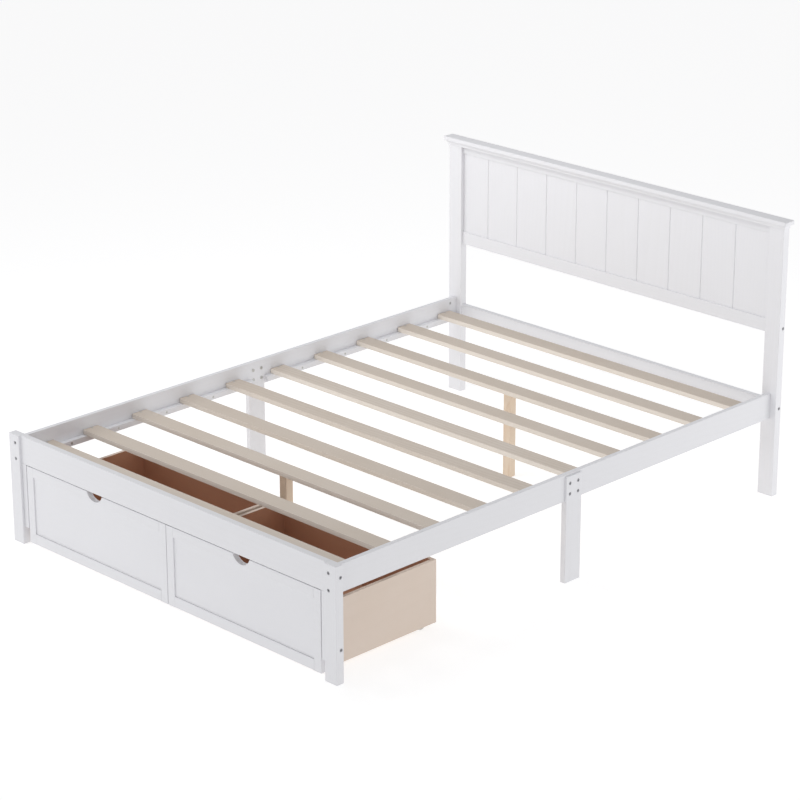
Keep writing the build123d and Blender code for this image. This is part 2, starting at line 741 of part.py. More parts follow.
def build_drawer_box(name, side):
    """Two sides and a back around a grooved-in bottom, held to the front by cam locks."""
    bottom_y1 = box_back_y - box_wall + bottom_lap
    x0 = box_inner + box_wall - bottom_lap
    x1 = box_outer - box_wall + bottom_lap
    x_ends = mirrored(side, x0, x1)
    panel = (front_back_y, bottom_y1, bottom_level, bottom_level + bottom_thickness)
    bottom = block(*x_ends, panel[0] + board_gap, panel[1], panel[2], panel[3])
    gap = board_gap
    groove = block(
        *mirrored(side, x0 - gap, x1 + gap), panel[0] - overshoot, panel[1] + gap,
        panel[2] - gap, panel[3] + gap,
    )

    walls = {"inner": (box_inner, box_inner + box_wall), "outer": (box_outer - box_wall, box_outer)}
    levels = [box_low + box_height * share for share in back_screw_shares]
    for which, (a, b) in walls.items():
        middle = (a + b) / 2
        face_x = b if which == "inner" else a
        fittings = [cam_fitting(side, middle, z, face_x) for z in cam_levels()]
        screws = [(side * middle, box_back_y, z) for z in levels]
        wall = block(*mirrored(side, a, b), front_back_y, box_back_y - box_wall, box_low, box_top)
        wall = eased(wall, Axis.Y, edge_round / 2) - groove
        cuts = [f[2] for f in fittings] + [cam_pin_hole(side, middle, z) for z in cam_levels()]
        cuts += [screw_hole(p, (0, -1, 0)) for p in screws]
        add(f"drawer_{name}_sides", cut_all(wall, cuts))
        add(f"drawer_{name}_fittings", *[s for f in fittings for s in f[:2]])
        add(f"drawer_{name}_fittings", *[screw(p, (0, -1, 0)) for p in screws])

    back = block(*mirrored(side, box_inner, box_outer), box_back_y - box_wall, box_back_y, box_low, box_top)
    back = eased(back, Axis.X, edge_round / 2) - groove
    back_screws = [(side * m, box_back_y, z) for m in box_wall_middles() for z in levels]
    add(f"drawer_{name}_back", cut_all(back, [screw_hole(p, (0, -1, 0)) for p in back_screws]))
    return bottom


def caster_centres():
    inset = box_wall + caster_wall_gap + axle_head + cheek_thickness + cheek_gap + wheel_width / 2
    xs = (box_inner + inset, box_outer - inset)
    ys = (front_back_y + caster_setback, box_back_y - caster_setback)
    return [(x, y) for y in ys for x in xs]


def build_casters(name, side, bottom):
    """Four fixed casters under the drawer bottom: plate, two cheeks, axle and wheel."""
    cheek_x = wheel_width / 2 + cheek_gap
    half_width = cheek_x + cheek_thickness
    under_plate = bottom_level - caster_plate
    for number, (x, y) in enumerate(caster_centres(), start=1):
        x = side * x
        plate = block(
            x - half_width, x + half_width, y - caster_plate_length / 2, y + caster_plate_length / 2,
            under_plate, bottom_level,
        )
        fork = eased(plate, Axis.Z, caster_plate_corner)
        for s in SIDES.values():
            cheek_plane = Plane(origin=(x + s * cheek_x, y, 0), x_dir=(0, 1, 0), z_dir=(1, 0, 0))
            with BuildSketch(cheek_plane) as cheek:
                with Locations((0, wheel_radius)):
                    Circle(cheek_end_radius)
                with Locations((0, under_plate)):
                    root = caster_plate_length * cheek_root_share
                    Rectangle(root, cheek_root_height, align=(Align.CENTER, Align.MAX))
                make_hull()
            fork += extrude(cheek.sketch, cheek_thickness, dir=(s, 0, 0))
        axle_half = half_width
        bore_start = (x - caster_plate_length, y, wheel_radius)
        fork -= rod(bore_start, (1, 0, 0), axle_diameter + slip, 2 * caster_plate_length)
        axle = rod((x - axle_half, y, wheel_radius), (1, 0, 0), axle_diameter, 2 * axle_half)
        for s in SIDES.values():
            axle += rod((x + s * axle_half, y, wheel_radius), (s, 0, 0), axle_head_diameter, axle_head)
        screw_reach = caster_plate_length / 2 - plate_screw_inset
        points = [(x, screw_y, under_plate) for screw_y in (y - screw_reach, y + screw_reach)]
        size = (plate_screw_length, plate_screw_diameter, plate_screw_head)
        fork = cut_all(fork, [screw_hole(p, (0, 0, 1), *size) for p in points])
        bottom = cut_all(bottom, [screw_hole(p, (0, 0, 1), *size) for p in points])
        add(f"drawer_{name}_casters", fork, axle)
        add(f"drawer_{name}_fittings", *[screw(p, (0, 0, 1), *size) for p in points])
        add(f"wheel_{name}_{number}", caster_wheel(x, y))
    return bottom


def caster_wheel(x, y):
    """Solid wheel with a raised hub on each face and a rounded tread."""
    start = (x - wheel_width / 2, y, wheel_radius)
    wheel = rod(start, (1, 0, 0), wheel_diameter, wheel_width)
    wheel = fillet(wheel.edges(), wheel_crown)
    for s in SIDES.values():
        face = (x + s * wheel_width / 2, y, wheel_radius)
        rim = rod(face, (-s, 0, 0), wheel_diameter * wheel_rim_share, wheel_recess)
        hub = rod(face, (-s, 0, 0), wheel_diameter * wheel_hub_share, wheel_recess)
        wheel -= rim - hub
    bore = axle_diameter + wheel_bore_clearance
    return wheel - rod((x - wheel_width, y, wheel_radius), (1, 0, 0), bore, 2 * wheel_width)


def build_drawer(name, side):
    build_drawer_front(name, side)
    bottom = build_drawer_box(name, side)
    add(f"drawer_{name}_bottom", build_casters(name, side, bottom))


# ---------------------------------------------------------------- assembly
build_foot_end()
build_head_rails(build_head_posts())
build_head_boards()
build_cap()
build_sides()
build_deck()
for drawer_name, drawer_side in SIDES.items():
    build_drawer(drawer_name, drawer_side)

os.makedirs("parts", exist_ok=True)
for node_name, solids in nodes.items():
    pieces = [solid for shape in solids for solid in shape.solids()]
    shape = pieces[0] if len(pieces) == 1 else Compound(children=pieces)
    export_step(shape, f"parts/{node_name}.step")
    print(f"{node_name}: {len(pieces)}")
print("nodes", len(nodes))
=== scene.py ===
import math

import bmesh
import bpy
from mathutils import Matrix, Vector


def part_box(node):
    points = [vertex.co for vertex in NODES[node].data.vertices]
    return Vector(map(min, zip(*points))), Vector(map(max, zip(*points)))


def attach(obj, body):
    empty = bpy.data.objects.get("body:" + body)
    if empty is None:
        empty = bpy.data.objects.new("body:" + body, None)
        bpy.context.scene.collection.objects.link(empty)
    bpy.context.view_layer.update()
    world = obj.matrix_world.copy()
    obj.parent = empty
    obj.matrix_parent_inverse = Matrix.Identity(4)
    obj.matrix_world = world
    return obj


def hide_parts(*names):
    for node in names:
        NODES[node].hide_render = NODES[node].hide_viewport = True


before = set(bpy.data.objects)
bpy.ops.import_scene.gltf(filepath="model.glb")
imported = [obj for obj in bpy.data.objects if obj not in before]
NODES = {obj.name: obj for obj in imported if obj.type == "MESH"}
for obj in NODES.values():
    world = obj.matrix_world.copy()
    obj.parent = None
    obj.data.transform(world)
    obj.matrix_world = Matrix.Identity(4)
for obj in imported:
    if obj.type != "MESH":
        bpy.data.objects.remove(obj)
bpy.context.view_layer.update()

# Full-size slatted bed with two drawers on casters in its foot end.
# Metres. X runs across the bed, Y from the foot to the headboard, Z up from the floor.

SCENE = bpy.context.scene
MM = 0.001
SIDES = ("left", "right")


# ------------------------------------------------------------------ node helpers
def feed(tree, value, socket):
    """A value that is a socket becomes a link, any other value is set on the socket."""
    if isinstance(value, bpy.types.NodeSocket):
        tree.links.new(value, socket)
    else:
        socket.default_value = value


def add_node(tree, kind, inputs=None, **settings):
    made = tree.nodes.new(kind)
    for key, value in settings.items():
        setattr(made, key, value)
    for key, value in (inputs or {}).items():
        feed(tree, value, made.inputs[key])
    return made


def math_node(tree, operation, a, b=0.0, c=0.0):
    return add_node(tree, "ShaderNodeMath", {0: a, 1: b, 2: c}, operation=operation).outputs[0]


def add(tree, a, b):
    return math_node(tree, "ADD", a, b)


def subtract(tree, a, b):
    return math_node(tree, "SUBTRACT", a, b)


def multiply(tree, a, b):
    return math_node(tree, "MULTIPLY", a, b)


def multiply_add(tree, a, b, c):
    return math_node(tree, "MULTIPLY_ADD", a, b, c)


def join_xyz(tree, x=0.0, y=0.0, z=0.0):
    return add_node(tree, "ShaderNodeCombineXYZ", {"X": x, "Y": y, "Z": z}).outputs[0]


def split_xyz(tree, vector):
    return add_node(tree, "ShaderNodeSeparateXYZ", {0: vector}).outputs


def vector_node(tree, operation, a, b=(0.0, 0.0, 0.0), scale=None):
    inputs = {0: a, 1: b}
    if scale is not None:
        inputs["Scale"] = scale
    made = add_node(tree, "ShaderNodeVectorMath", inputs, operation=operation)
    return made.outputs["Value"] if operation in ("LENGTH", "DOT_PRODUCT") else made.outputs["Vector"]


def remap(tree, value, low, high, to_low=0.0, to_high=1.0, smooth=False):
    kind = "SMOOTHSTEP" if smooth else "LINEAR"
    inputs = {"Value": value, "From Min": low, "From Max": high, "To Min": to_low, "To Max": to_high}
    return add_node(tree, "ShaderNodeMapRange", inputs, interpolation_type=kind).outputs["Result"]


def mix_colour(tree, factor, a, b):
    # A mix node's colour sockets are its seventh and eighth inputs and its third output.
    return add_node(tree, "ShaderNodeMix", {0: factor, 6: a, 7: b}, data_type="RGBA").outputs[2]


def noise(tree, vector, scale, detail=3.0, roughness=0.55):
    inputs = {"Vector": vector, "Scale": scale, "Detail": detail, "Roughness": roughness}
    return add_node(tree, "ShaderNodeTexNoise", inputs).outputs[0]


def new_group(name, kind, inputs, outputs):
    """A node group with named inputs (name, socket type, start value) and outputs (name, socket type)."""
    group = bpy.data.node_groups.new(name, kind)
    for label, socket_type, value in inputs:
        socket = group.interface.new_socket(name=label, in_out="INPUT", socket_type=socket_type)
        if value is not None:
            socket.default_value = value
    for label, socket_type in outputs:
        group.interface.new_socket(name=label, in_out="OUTPUT", socket_type=socket_type)
    start = group.nodes.new("NodeGroupInput")
    end = group.nodes.new("NodeGroupOutput")
    return group, start.outputs, end.inputs


def use_group(tree, group, inputs):
    return add_node(tree, "ShaderNodeGroup", inputs, node_tree=group).outputs


# ------------------------------------------------------------------ shader groups
def build_grain_group():
    """Figure of a sawn board whose length runs along the first coordinate.

    Growth rings are circles about a heart that lies beside the board; every board number has its own."""
    group, given, out = new_group(
        "sawn_grain", "ShaderNodeTree",
        [
            ("Vector", "NodeSocketVector", None),
            ("Board", "NodeSocketFloat", 0.0),
            ("Ring Width", "NodeSocketFloat", 0.005),
            ("Waviness", "NodeSocketFloat", 0.012),
            ("Knot Share", "NodeSocketFloat", 0.2),
        ],
        [("Rings", "NodeSocketFloat"), ("Fibre", "NodeSocketFloat"), ("Knots", "NodeSocketFloat")],
    )
    chance = add_node(group, "ShaderNodeTexWhiteNoise", {"W": given["Board"]}, noise_dimensions="1D")
    own = split_xyz(group, chance.outputs["Color"])
    along, across, through = split_xyz(group, given["Vector"])
    shift = multiply(group, given["Board"], 3.71)

    wander = join_xyz(
        group,
        multiply_add(group, along, 1.6, shift),
        multiply(group, across, 9.0),
        multiply(group, through, 9.0),
    )
    sway = subtract(group, noise(group, wander, 1.0, 3.0), 0.5)
    sway = multiply(group, sway, given["Waviness"])
    heart_across = remap(group, own[0], 0.0, 1.0, -0.05, 0.05)
    heart_through = remap(group, own[1], 0.0, 1.0, -0.05, -0.13)
    lean = multiply(group, along, remap(group, own[2], 0.0, 1.0, -0.02, 0.02))
    from_heart = join_xyz(
        group,
        add(group, subtract(group, across, heart_across), sway),
        add(group, subtract(group, through, heart_through), sway),
    )
    radius = add(group, vector_node(group, "LENGTH", from_heart), lean)

    spot_at = join_xyz(
        group,
        multiply_add(group, along, 3.0, shift),
        multiply(group, across, 12.0),
        multiply(group, through, 2.0),
    )
    spots = add_node(group, "ShaderNodeTexVoronoi", {"Vector": spot_at, "Scale": 1.0}, feature="F1")
    picked = split_xyz(group, spots.outputs["Color"])[0]
    kept = math_node(group, "LESS_THAN", picked, given["Knot Share"])
    spread = multiply(group, remap(group, spots.outputs["Distance"], 0.0, 0.35, 1.0, 0.0, True), kept)
    core = multiply(group, remap(group, spots.outputs["Distance"], 0.04, 0.09, 1.0, 0.0, True), kept)
    radius = multiply_add(group, spread, 0.012, radius)

    phase = math_node(group, "FRACT", math_node(group, "DIVIDE", radius, given["Ring Width"]))
    rise = math_node(group, "POWER", phase, 2.2)
    fall = remap(group, phase, 0.9, 1.0, 1.0, 0.0, True)
    rings = multiply(group, rise, fall)
    group.links.new(rings, out["Rings"])

    streaks = join_xyz(
        group,
        multiply_add(group, along, 9.0, shift),
        multiply(group, across, 420.0),
        multiply(group, through, 420.0),
    )
    group.links.new(noise(group, streaks, 1.0, 2.0, 0.6), out["Fibre"])
    group.links.new(core, out["Knots"])
    return group


def build_mottle_group():
    """Slow and fast unevenness that handling and spraying leave in a finish."""
    group, given, out = new_group(
        "finish_mottle", "ShaderNodeTree",
        [
            ("Vector", "NodeSocketVector", None),
            ("Cloud Scale", "NodeSocketFloat", 3.0),
            ("Speck Scale", "NodeSocketFloat", 260.0),
        ],
        [("Cloud", "NodeSocketFloat"), ("Speck", "NodeSocketFloat")],
    )
    group.links.new(noise(group, given["Vector"], given["Cloud Scale"], 4.0), out["Cloud"])
    group.links.new(noise(group, given["Vector"], given["Speck Scale"], 2.0), out["Speck"])
    return group


def build_edge_group():
    """Masks of the edges: Edge is a plain one, which the white paint uses for painted shade along its edges,
    and Rub is one broken up by noise, where a finish is rubbed thin.
    """
    group, given, out = new_group(
        "edge_wear_and_shade", "ShaderNodeTree",
        [
            ("Vector", "NodeSocketVector", None),
            ("Reach", "NodeSocketFloat", 0.002),
            ("Patchiness", "NodeSocketFloat", 40.0),
        ],
        [("Edge", "NodeSocketFloat"), ("Rub", "NodeSocketFloat")],
    )
    rounded = add_node(group, "ShaderNodeBevel", {"Radius": given["Reach"]}, samples=4)
    flat = add_node(group, "ShaderNodeNewGeometry")
    likeness = vector_node(group, "DOT_PRODUCT", rounded.outputs[0], flat.outputs["True Normal"])
    edge = remap(group, likeness, 0.995, 0.85, 0.0, 1.0, True)
    cloud = noise(group, given["Vector"], given["Patchiness"], 3.0)
    patches = remap(group, cloud, 0.42, 0.62, 0.0, 1.0, True)
    group.links.new(edge, out["Edge"])
    group.links.new(multiply(group, edge, patches), out["Rub"])
    return group


GRAIN = build_grain_group()
MOTTLE = build_mottle_group()
EDGE = build_edge_group()


# ------------------------------------------------------------------ materials
def new_material(name):
    material = bpy.data.materials.new(name)
    material.use_nodes = True
    tree = material.node_tree
    shader = tree.nodes["Principled BSDF"]
    place = add_node(tree, "ShaderNodeTexCoord").outputs["Object"]
    return material, tree, shader, place


def board_vector(tree, place, axis):
    """Turns the coordinates so that the board's length comes first."""
    x, y, z = split_xyz(tree, place)
    order = {"X": (x, y, z), "Y": (y, z, x), "Z": (z, x, y)}[axis]
    return join_xyz(tree, *order)


def add_bump(tree, shader, height, strength, distance):
    bump = add_node(tree, "ShaderNodeBump", {"Height": height, "Strength": strength, "Distance": distance})
    tree.links.new(bump.outputs[0], shader.inputs["Normal"])


def board_number(tree, place, axis, first, pitch):
    """Number of the board that a point lies on, in a row of boards along an axis."""
    value = split_xyz(tree, place)["XYZ".index(axis)]
    return math_node(tree, "FLOOR", math_node(tree, "DIVIDE", subtract(tree, value, first), pitch))


def white_paint(name, axis, board=0.0, row=None, grain_show=1.0, tone=1.0):
    """Sprayed satin white on pine: the grain shows only as a faint relief."""
    material, tree, shader, place = new_material(name)
    if row:
        board = board_number(tree, place, *row)
    grain = use_group(tree, GRAIN, {
        "Vector": board_vector(tree, place, axis), "Board": board, "Ring Width": 0.006, "Knot Share": 0.1,
    })
    mottle = use_group(tree, MOTTLE, {"Vector": place, "Cloud Scale": 2.5, "Speck Scale": 700.0})
    edge = use_group(tree, EDGE, {"Vector": place, "Reach": 0.0016, "Patchiness": 30.0})
    # Tone scales the whole coat: painted light where it is above 1 and painted shade where it is below 1.
    white, shaded = [(v * tone, v * tone, v * tone * 1.032, 1) for v in (0.800, 0.775)]
    colour = mix_colour(tree, mottle["Cloud"], white, shaded)
    shade = multiply(tree, grain["Rings"], 0.05 * grain_show)
    colour = mix_colour(tree, shade, colour, (0.62, 0.60, 0.58, 1))
    # Painted shade: the coat is darkened towards grey along every edge.
    colour = mix_colour(tree, multiply(tree, edge["Edge"], 0.3), colour, (0.60, 0.60, 0.62, 1))
    tree.links.new(colour, shader.inputs["Base Color"])
    tree.links.new(remap(tree, mottle["Cloud"], 0.3, 0.7, 0.40, 0.52), shader.inputs["Roughness"])
    relief = multiply_add(tree, grain["Fibre"], 0.5 * grain_show, mottle["Speck"])
    relief = multiply_add(tree, grain["Rings"], 0.6 * grain_show, relief)
    add_bump(tree, shader, relief, 0.25, 0.00012)
    return material


def inside_box(tree, place, low, high):
    """1 where a point lies in a box that is mirrored about the middle plane, and 0 elsewhere."""
    x, y, z = split_xyz(tree, place)
    mask = 1.0
    for value, least, most in zip((math_node(tree, "ABSOLUTE", x), y, z), low, high):
        above = math_node(tree, "GREATER_THAN", value, least)
        below = math_node(tree, "LESS_THAN", value, most)
        mask = multiply(tree, multiply(tree, above, below), mask)
    return mask


def bare_wood(
    name, axis, light, dark, row=None, board=0.0, ring=0.005, knots=0.12, figure=1.0, painted_inside_shade=None,
    painted_edge_light=0.0,
):
    """Sanded wood with no finish. Painted inside shade is a darker tone and the box that it fills, with
    painted shade inside the drawers.

    Painted edge light lightens the faces that look along Y: painted light on the slats' long edges."""
    material, tree, shader, place = new_material(name)
    if row:
        board = board_number(tree, place, *row)
    grain = use_group(tree, GRAIN, {
        "Vector": board_vector(tree, place, axis), "Board": board, "Ring Width": ring, "Knot Share": knots,
    })
    mottle = use_group(tree, MOTTLE, {"Vector": place, "Cloud Scale": 4.0, "Speck Scale": 300.0})
    edge = use_group(tree, EDGE, {"Vector": place, "Reach": 0.0016, "Patchiness": 50.0})
    rings = multiply(tree, grain["Rings"], 0.6 * figure)
    factor = multiply_add(tree, grain["Fibre"], 0.35 * figure, rings)
    colour = mix_colour(tree, factor, (*light, 1), (*dark, 1))
    tone = remap(tree, mottle["Cloud"], 0.35, 0.65, 0.0, 0.22)
    colour = mix_colour(tree, tone, colour, (dark[0], dark[1] * 0.97, dark[2] * 0.9, 1))
    knot_tone = (dark[0] * 0.45, dark[1] * 0.34, dark[2] * 0.26, 1)
    colour = mix_colour(tree, multiply(tree, grain["Knots"], 0.75), colour, knot_tone)
    if painted_edge_light:
        # Painted light: the faces that look along Y are lightened towards a pale cream.
        facing = split_xyz(tree, add_node(tree, "ShaderNodeTexCoord").outputs["Normal"])[1]
        painted_light_edgeways = remap(tree, math_node(tree, "ABSOLUTE", facing), 0.5, 0.8, 0.0, painted_edge_light)
        colour = mix_colour(tree, painted_light_edgeways, colour, (1.0, 0.95, 0.88, 1))
    if row:
        chance = add_node(tree, "ShaderNodeTexWhiteNoise", {"W": board}, noise_dimensions="1D")
        colour = mix_colour(tree, multiply(tree, chance.outputs["Value"], 0.3), colour, (*dark, 1))
    if painted_inside_shade:
        # Painted shade: the faces inside the box are darkened to a deep brown.
        inside_shade_tone, low, high = painted_inside_shade
        painted_shade_inside = multiply(tree, inside_box(tree, place, low, high), 0.85)
        colour = mix_colour(tree, painted_shade_inside, colour, (*inside_shade_tone, 1))
    rubbed = multiply(tree, edge["Rub"], 0.35)
    colour = mix_colour(tree, rubbed, colour, (*[min(1.0, v * 1.12) for v in light], 1))
    tree.links.new(colour, shader.inputs["Base Color"])
    tree.links.new(remap(tree, grain["Rings"], 0.0, 1.0, 0.62, 0.50), shader.inputs["Roughness"])
    relief = multiply_add(tree, grain["Rings"], 0.8, grain["Fibre"])
    add_bump(tree, shader, relief, 0.5, 0.0002)
    return material


def metal(name, colour, worn, roughness, metallic=1.0):
    """Plated or blackened steel, brighter where edges are rubbed."""
    material, tree, shader, place = new_material(name)
    mottle = use_group(tree, MOTTLE, {"Vector": place, "Cloud Scale": 120.0, "Speck Scale": 2500.0})
    edge = use_group(tree, EDGE, {"Vector": place, "Reach": 0.0005, "Patchiness": 300.0})
    tint = mix_colour(tree, mottle["Cloud"], (*colour, 1), (*[v * 0.8 for v in colour], 1))
    tint = mix_colour(tree, edge["Rub"], tint, (*worn, 1))
    tree.links.new(tint, shader.inputs["Base Color"])
    shader.inputs["Metallic"].default_value = metallic
    tree.links.new(
        remap(tree, mottle["Speck"], 0.3, 0.7, roughness - 0.08, roughness + 0.08), shader.inputs["Roughness"]
    )
    add_bump(tree, shader, mottle["Speck"], 0.15, 0.00005)
    return material


def plastic(name, colour, roughness):
    """Moulded nylon with a fine grain and a little grime."""
    material, tree, shader, place = new_material(name)
    mottle = use_group(tree, MOTTLE, {"Vector": place, "Cloud Scale": 60.0, "Speck Scale": 1800.0})
    edge = use_group(tree, EDGE, {"Vector": place, "Reach": 0.0008, "Patchiness": 120.0})
    tint = mix_colour(tree, mottle["Cloud"], (*colour, 1), (*[v * 0.86 for v in colour], 1))
    tint = mix_colour(tree, multiply(tree, edge["Rub"], 0.4), tint, (*[v * 0.7 for v in colour], 1))
    tree.links.new(tint, shader.inputs["Base Color"])
    worn_roughness = remap(tree, mottle["Cloud"], 0.3, 0.7, roughness, roughness + 0.12)
    tree.links.new(worn_roughness, shader.inputs["Roughness"])
    add_bump(tree, shader, mottle["Speck"], 0.2, 0.00005)
    return material


SLAT_PITCH = 0.1993
slat_2_y = (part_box("slat_02")[0].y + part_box("slat_02")[1].y) / 2
board_low, board_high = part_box("headboard_boards")
BOARD_COUNT = 10
BOARD_SPREAD = 1.009
BOARD_SHIFT = 14 * MM
head_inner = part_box("headboard_top_rail")[1].x
board_pitch = 2 * head_inner / BOARD_COUNT * BOARD_SPREAD
board_row_start = -BOARD_COUNT / 2 * board_pitch - BOARD_SHIFT

# Painted light and shade: the headboard's coat is painted a shade lighter, and that of the bed's sides and
# foot a shade darker, for how the light falls on them.
HEAD_PAINTED_LIGHT, FOOT_AND_SIDE_PAINTED_SHADE = 1.02, 0.98
PAINT = {
    "X": white_paint("white_paint_across", "X", tone=FOOT_AND_SIDE_PAINTED_SHADE),
    "Y": white_paint("white_paint_lengthwise", "Y", board=3.0, tone=FOOT_AND_SIDE_PAINTED_SHADE),
    "Z": white_paint("white_paint_upright", "Z", board=5.0, tone=FOOT_AND_SIDE_PAINTED_SHADE),
    "head X": white_paint("headboard_paint_across", "X", board=11.0, tone=HEAD_PAINTED_LIGHT),
    "head Z": white_paint("headboard_paint_upright", "Z", board=13.0, tone=HEAD_PAINTED_LIGHT),
    "boards": white_paint("white_paint_boards", "Z", row=("X", board_row_start, board_pitch), tone=HEAD_PAINTED_LIGHT),
    "panel": white_paint("white_paint_panel", "X", board=9.0, grain_show=0.15, tone=FOOT_AND_SIDE_PAINTED_SHADE),
}
SLAT_WOOD = bare_wood(
    "slat_pine", "X", (0.70, 0.635, 0.565), (0.54, 0.455, 0.375),
    row=("Y", slat_2_y - SLAT_PITCH / 2, SLAT_PITCH), painted_edge_light=0.5,
)
LEG_WOOD = bare_wood("leg_pine", "Z", (0.80, 0.68, 0.55), (0.66, 0.50, 0.36), board=2.0)
# Painted shade: inside, the drawers' boards are painted a darker, browner tone for the shade that falls
# there.
DRAWER_BOARD = {
    "light": (0.72, 0.615, 0.535), "dark": (0.63, 0.515, 0.43), "ring": 0.009, "knots": 0.0, "figure": 0.25,
    "painted_inside_shade": ((0.46, 0.20, 0.10), (0.0175, -1.0, 0.0415), (0.6425, -0.5305, 0.3)),
}
DRAWER_WOOD = bare_wood("drawer_board", "Y", board=7.0, **DRAWER_BOARD)
DRAWER_CROSS = bare_wood("drawer_board_across", "X", board=8.0, **DRAWER_BOARD)
BEECH = bare_wood("beech", "X", (0.72, 0.52, 0.33), (0.58, 0.38, 0.22), ring=0.003, knots=0.0)
BOLT_STEEL = metal("bolt_steel", (0.42, 0.42, 0.44), (0.60, 0.60, 0.62), 0.46, 0.7)
ZINC = metal("zinc_plate", (0.62, 0.62, 0.60), (0.80, 0.80, 0.80), 0.34)
NYLON = plastic("wheel_nylon", (0.72, 0.70, 0.67), 0.42)


# ------------------------------------------------------------------ mesh helpers
def clean_mesh(mesh, angle=35):
    """Merges doubles, points the faces outwards and marks the sharp edges."""
    work = bmesh.new()
    work.from_mesh(mesh)
    bmesh.ops.remove_doubles(work, verts=work.verts, dist=1e-6)
    bmesh.ops.recalc_face_normals(work, faces=work.faces)
    for face in work.faces:
        face.smooth = True
    for edge in work.edges:
        edge.smooth = edge.is_manifold and edge.calc_face_angle(0) < math.radians(angle)
    work.to_mesh(mesh)
    work.free()
    return mesh


def place_piece(name, mesh, body, replaced=(), material=None):
    """Makes a mesh into a piece that rides on a body and stands for CAD nodes."""
    piece = bpy.data.objects.new(name, mesh)
    SCENE.collection.objects.link(piece)
    if material:
        mesh.materials.clear()
        mesh.materials.append(material)
    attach(piece, body)
    if replaced:
        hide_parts(*replaced)
    return piece


def joined(meshes, name):
    """One mesh out of several, which keeps each one's materials."""
    whole = bmesh.new()
    materials = []
    for mesh in meshes:
        first = len(whole.faces)
        start = len(materials)
        materials += list(mesh.materials)
        whole.from_mesh(mesh)
        whole.faces.ensure_lookup_table()
        for face in whole.faces[first:]:
            face.material_index += start
    result = bpy.data.meshes.new(name)
    whole.to_mesh(result)
    whole.free()
    for material in materials:
        result.materials.append(material)
    return result


def grown_mesh(name, base, tree, sizes):
    """Runs a geometry tree on a base mesh and returns the result as a plain mesh."""
    holder = bpy.data.objects.new(name, base)
    SCENE.collection.objects.link(holder)
    modifier = holder.modifiers.new("build", "NODES")
    modifier.node_group = tree
    for item in tree.interface.items_tree:
        if item.in_out == "INPUT" and item.name in sizes:
            modifier[item.identifier] = sizes[item.name]
    depsgraph = bpy.context.evaluated_depsgraph_get()
    result = bpy.data.meshes.new_from_object(
        holder.evaluated_get(depsgraph), preserve_all_data_layers=True, depsgraph=depsgraph
    )
    holder.modifiers.remove(modifier)
    bpy.data.objects.remove(holder)
    result.name = name
    return clean_mesh(result)


def separate_solids(node):
    """The corner points of every separate solid in a CAD node."""
    work = bmesh.new()
    work.from_mesh(NODES[node].data)
    bmesh.ops.remove_doubles(work, verts=work.verts, dist=1e-6)
    left = set(work.verts)
    solids = []
    for seed in work.verts:
        if seed not in left:
            continue
        left.remove(seed)
        stack = [seed]
        found = []
        while stack:
            vert = stack.pop()
            found.append(vert.co.copy())
            for edge in vert.link_edges:
                other = edge.other_vert(vert)
                if other in left:
                    left.remove(other)
                    stack.append(other)
        solids.append(found)
    work.free()
    return solids


def extent(points):
    low = Vector([min(p[i] for p in points) for i in range(3)])
    high = Vector([max(p[i] for p in points) for i in range(3)])
    return low, high


def fastener_place(points, flat=False):
    """Head centre, direction and length of a bolt, screw or pin; a flat one's axis is its shortest side."""
    low, high = extent(points)
    size = high - low
    pick = min if flat else max
    axis = pick(range(3), key=lambda i: size[i])
    middle = (low + high) / 2
    widths = []
    for level in (low[axis], high[axis]):
        near = [p for p in points if abs(p[axis] - level) < 0.3 * MM]
        widths.append(max((p - middle).length ** 2 - (p[axis] - middle[axis]) ** 2 for p in near))
    head_first = widths[0] >= widths[1]
    head = middle.copy()
    head[axis] = low[axis] if head_first else high[axis]
    direction = Vector((0, 0, 0))
    direction[axis] = 1 if head_first else -1
    return head, direction, size[axis]


def point_mesh(name, places):
    """A mesh of loose points that carry a direction and a length each."""
    mesh = bpy.data.meshes.new(name)
    mesh.from_pydata([tuple(p[0]) for p in places], [], [])
    direction = mesh.attributes.new("direction", "FLOAT_VECTOR", "POINT")
    direction.data.foreach_set("vector", [v for p in places for v in p[1]])
    length = mesh.attributes.new("length", "FLOAT", "POINT")
    length.data.foreach_set("value", [p[2] for p in places])
    return mesh


# ------------------------------------------------------------------ geometry trees
def named(tree, name, data_type):
    made = add_node(tree, "GeometryNodeInputNamedAttribute", {"Name": name}, data_type=data_type)
    return made.outputs["Attribute"]


def by_index(tree, index, values):
    """Picks one of several numbers by a whole-number index."""
    switch = tree.nodes.new("GeometryNodeIndexSwitch")
    switch.data_type = "FLOAT"
    while len(switch.index_switch_items) < len(values):
        switch.index_switch_items.new()
    tree.links.new(index, switch.inputs["Index"])
    for number, value in enumerate(values):
        feed(tree, value, switch.inputs[str(number)])
    return switch.outputs[0]


def placed_at(tree, geometry, how):
    return add_node(tree, "GeometryNodeSetPosition", {"Geometry": geometry, **how}).outputs[0]


def merged(tree, geometry, distance=1e-6):
    inputs = {"Geometry": geometry, "Distance": distance}
    return add_node(tree, "GeometryNodeMergeByDistance", inputs).outputs[0]


def realized(tree, geometry):
    return add_node(tree, "GeometryNodeRealizeInstances", {"Geometry": geometry}).outputs[0]


def on_points(tree, points, instance, **rotation):
    inputs = {"Points": points, "Instance": instance, **rotation}
    return add_node(tree, "GeometryNodeInstanceOnPoints", inputs).outputs[0]


def joined_geometry(tree, parts):
    both = tree.nodes.new("GeometryNodeJoinGeometry")
    for part in parts:
        tree.links.new(part, both.inputs[0])
    return both.outputs[0]


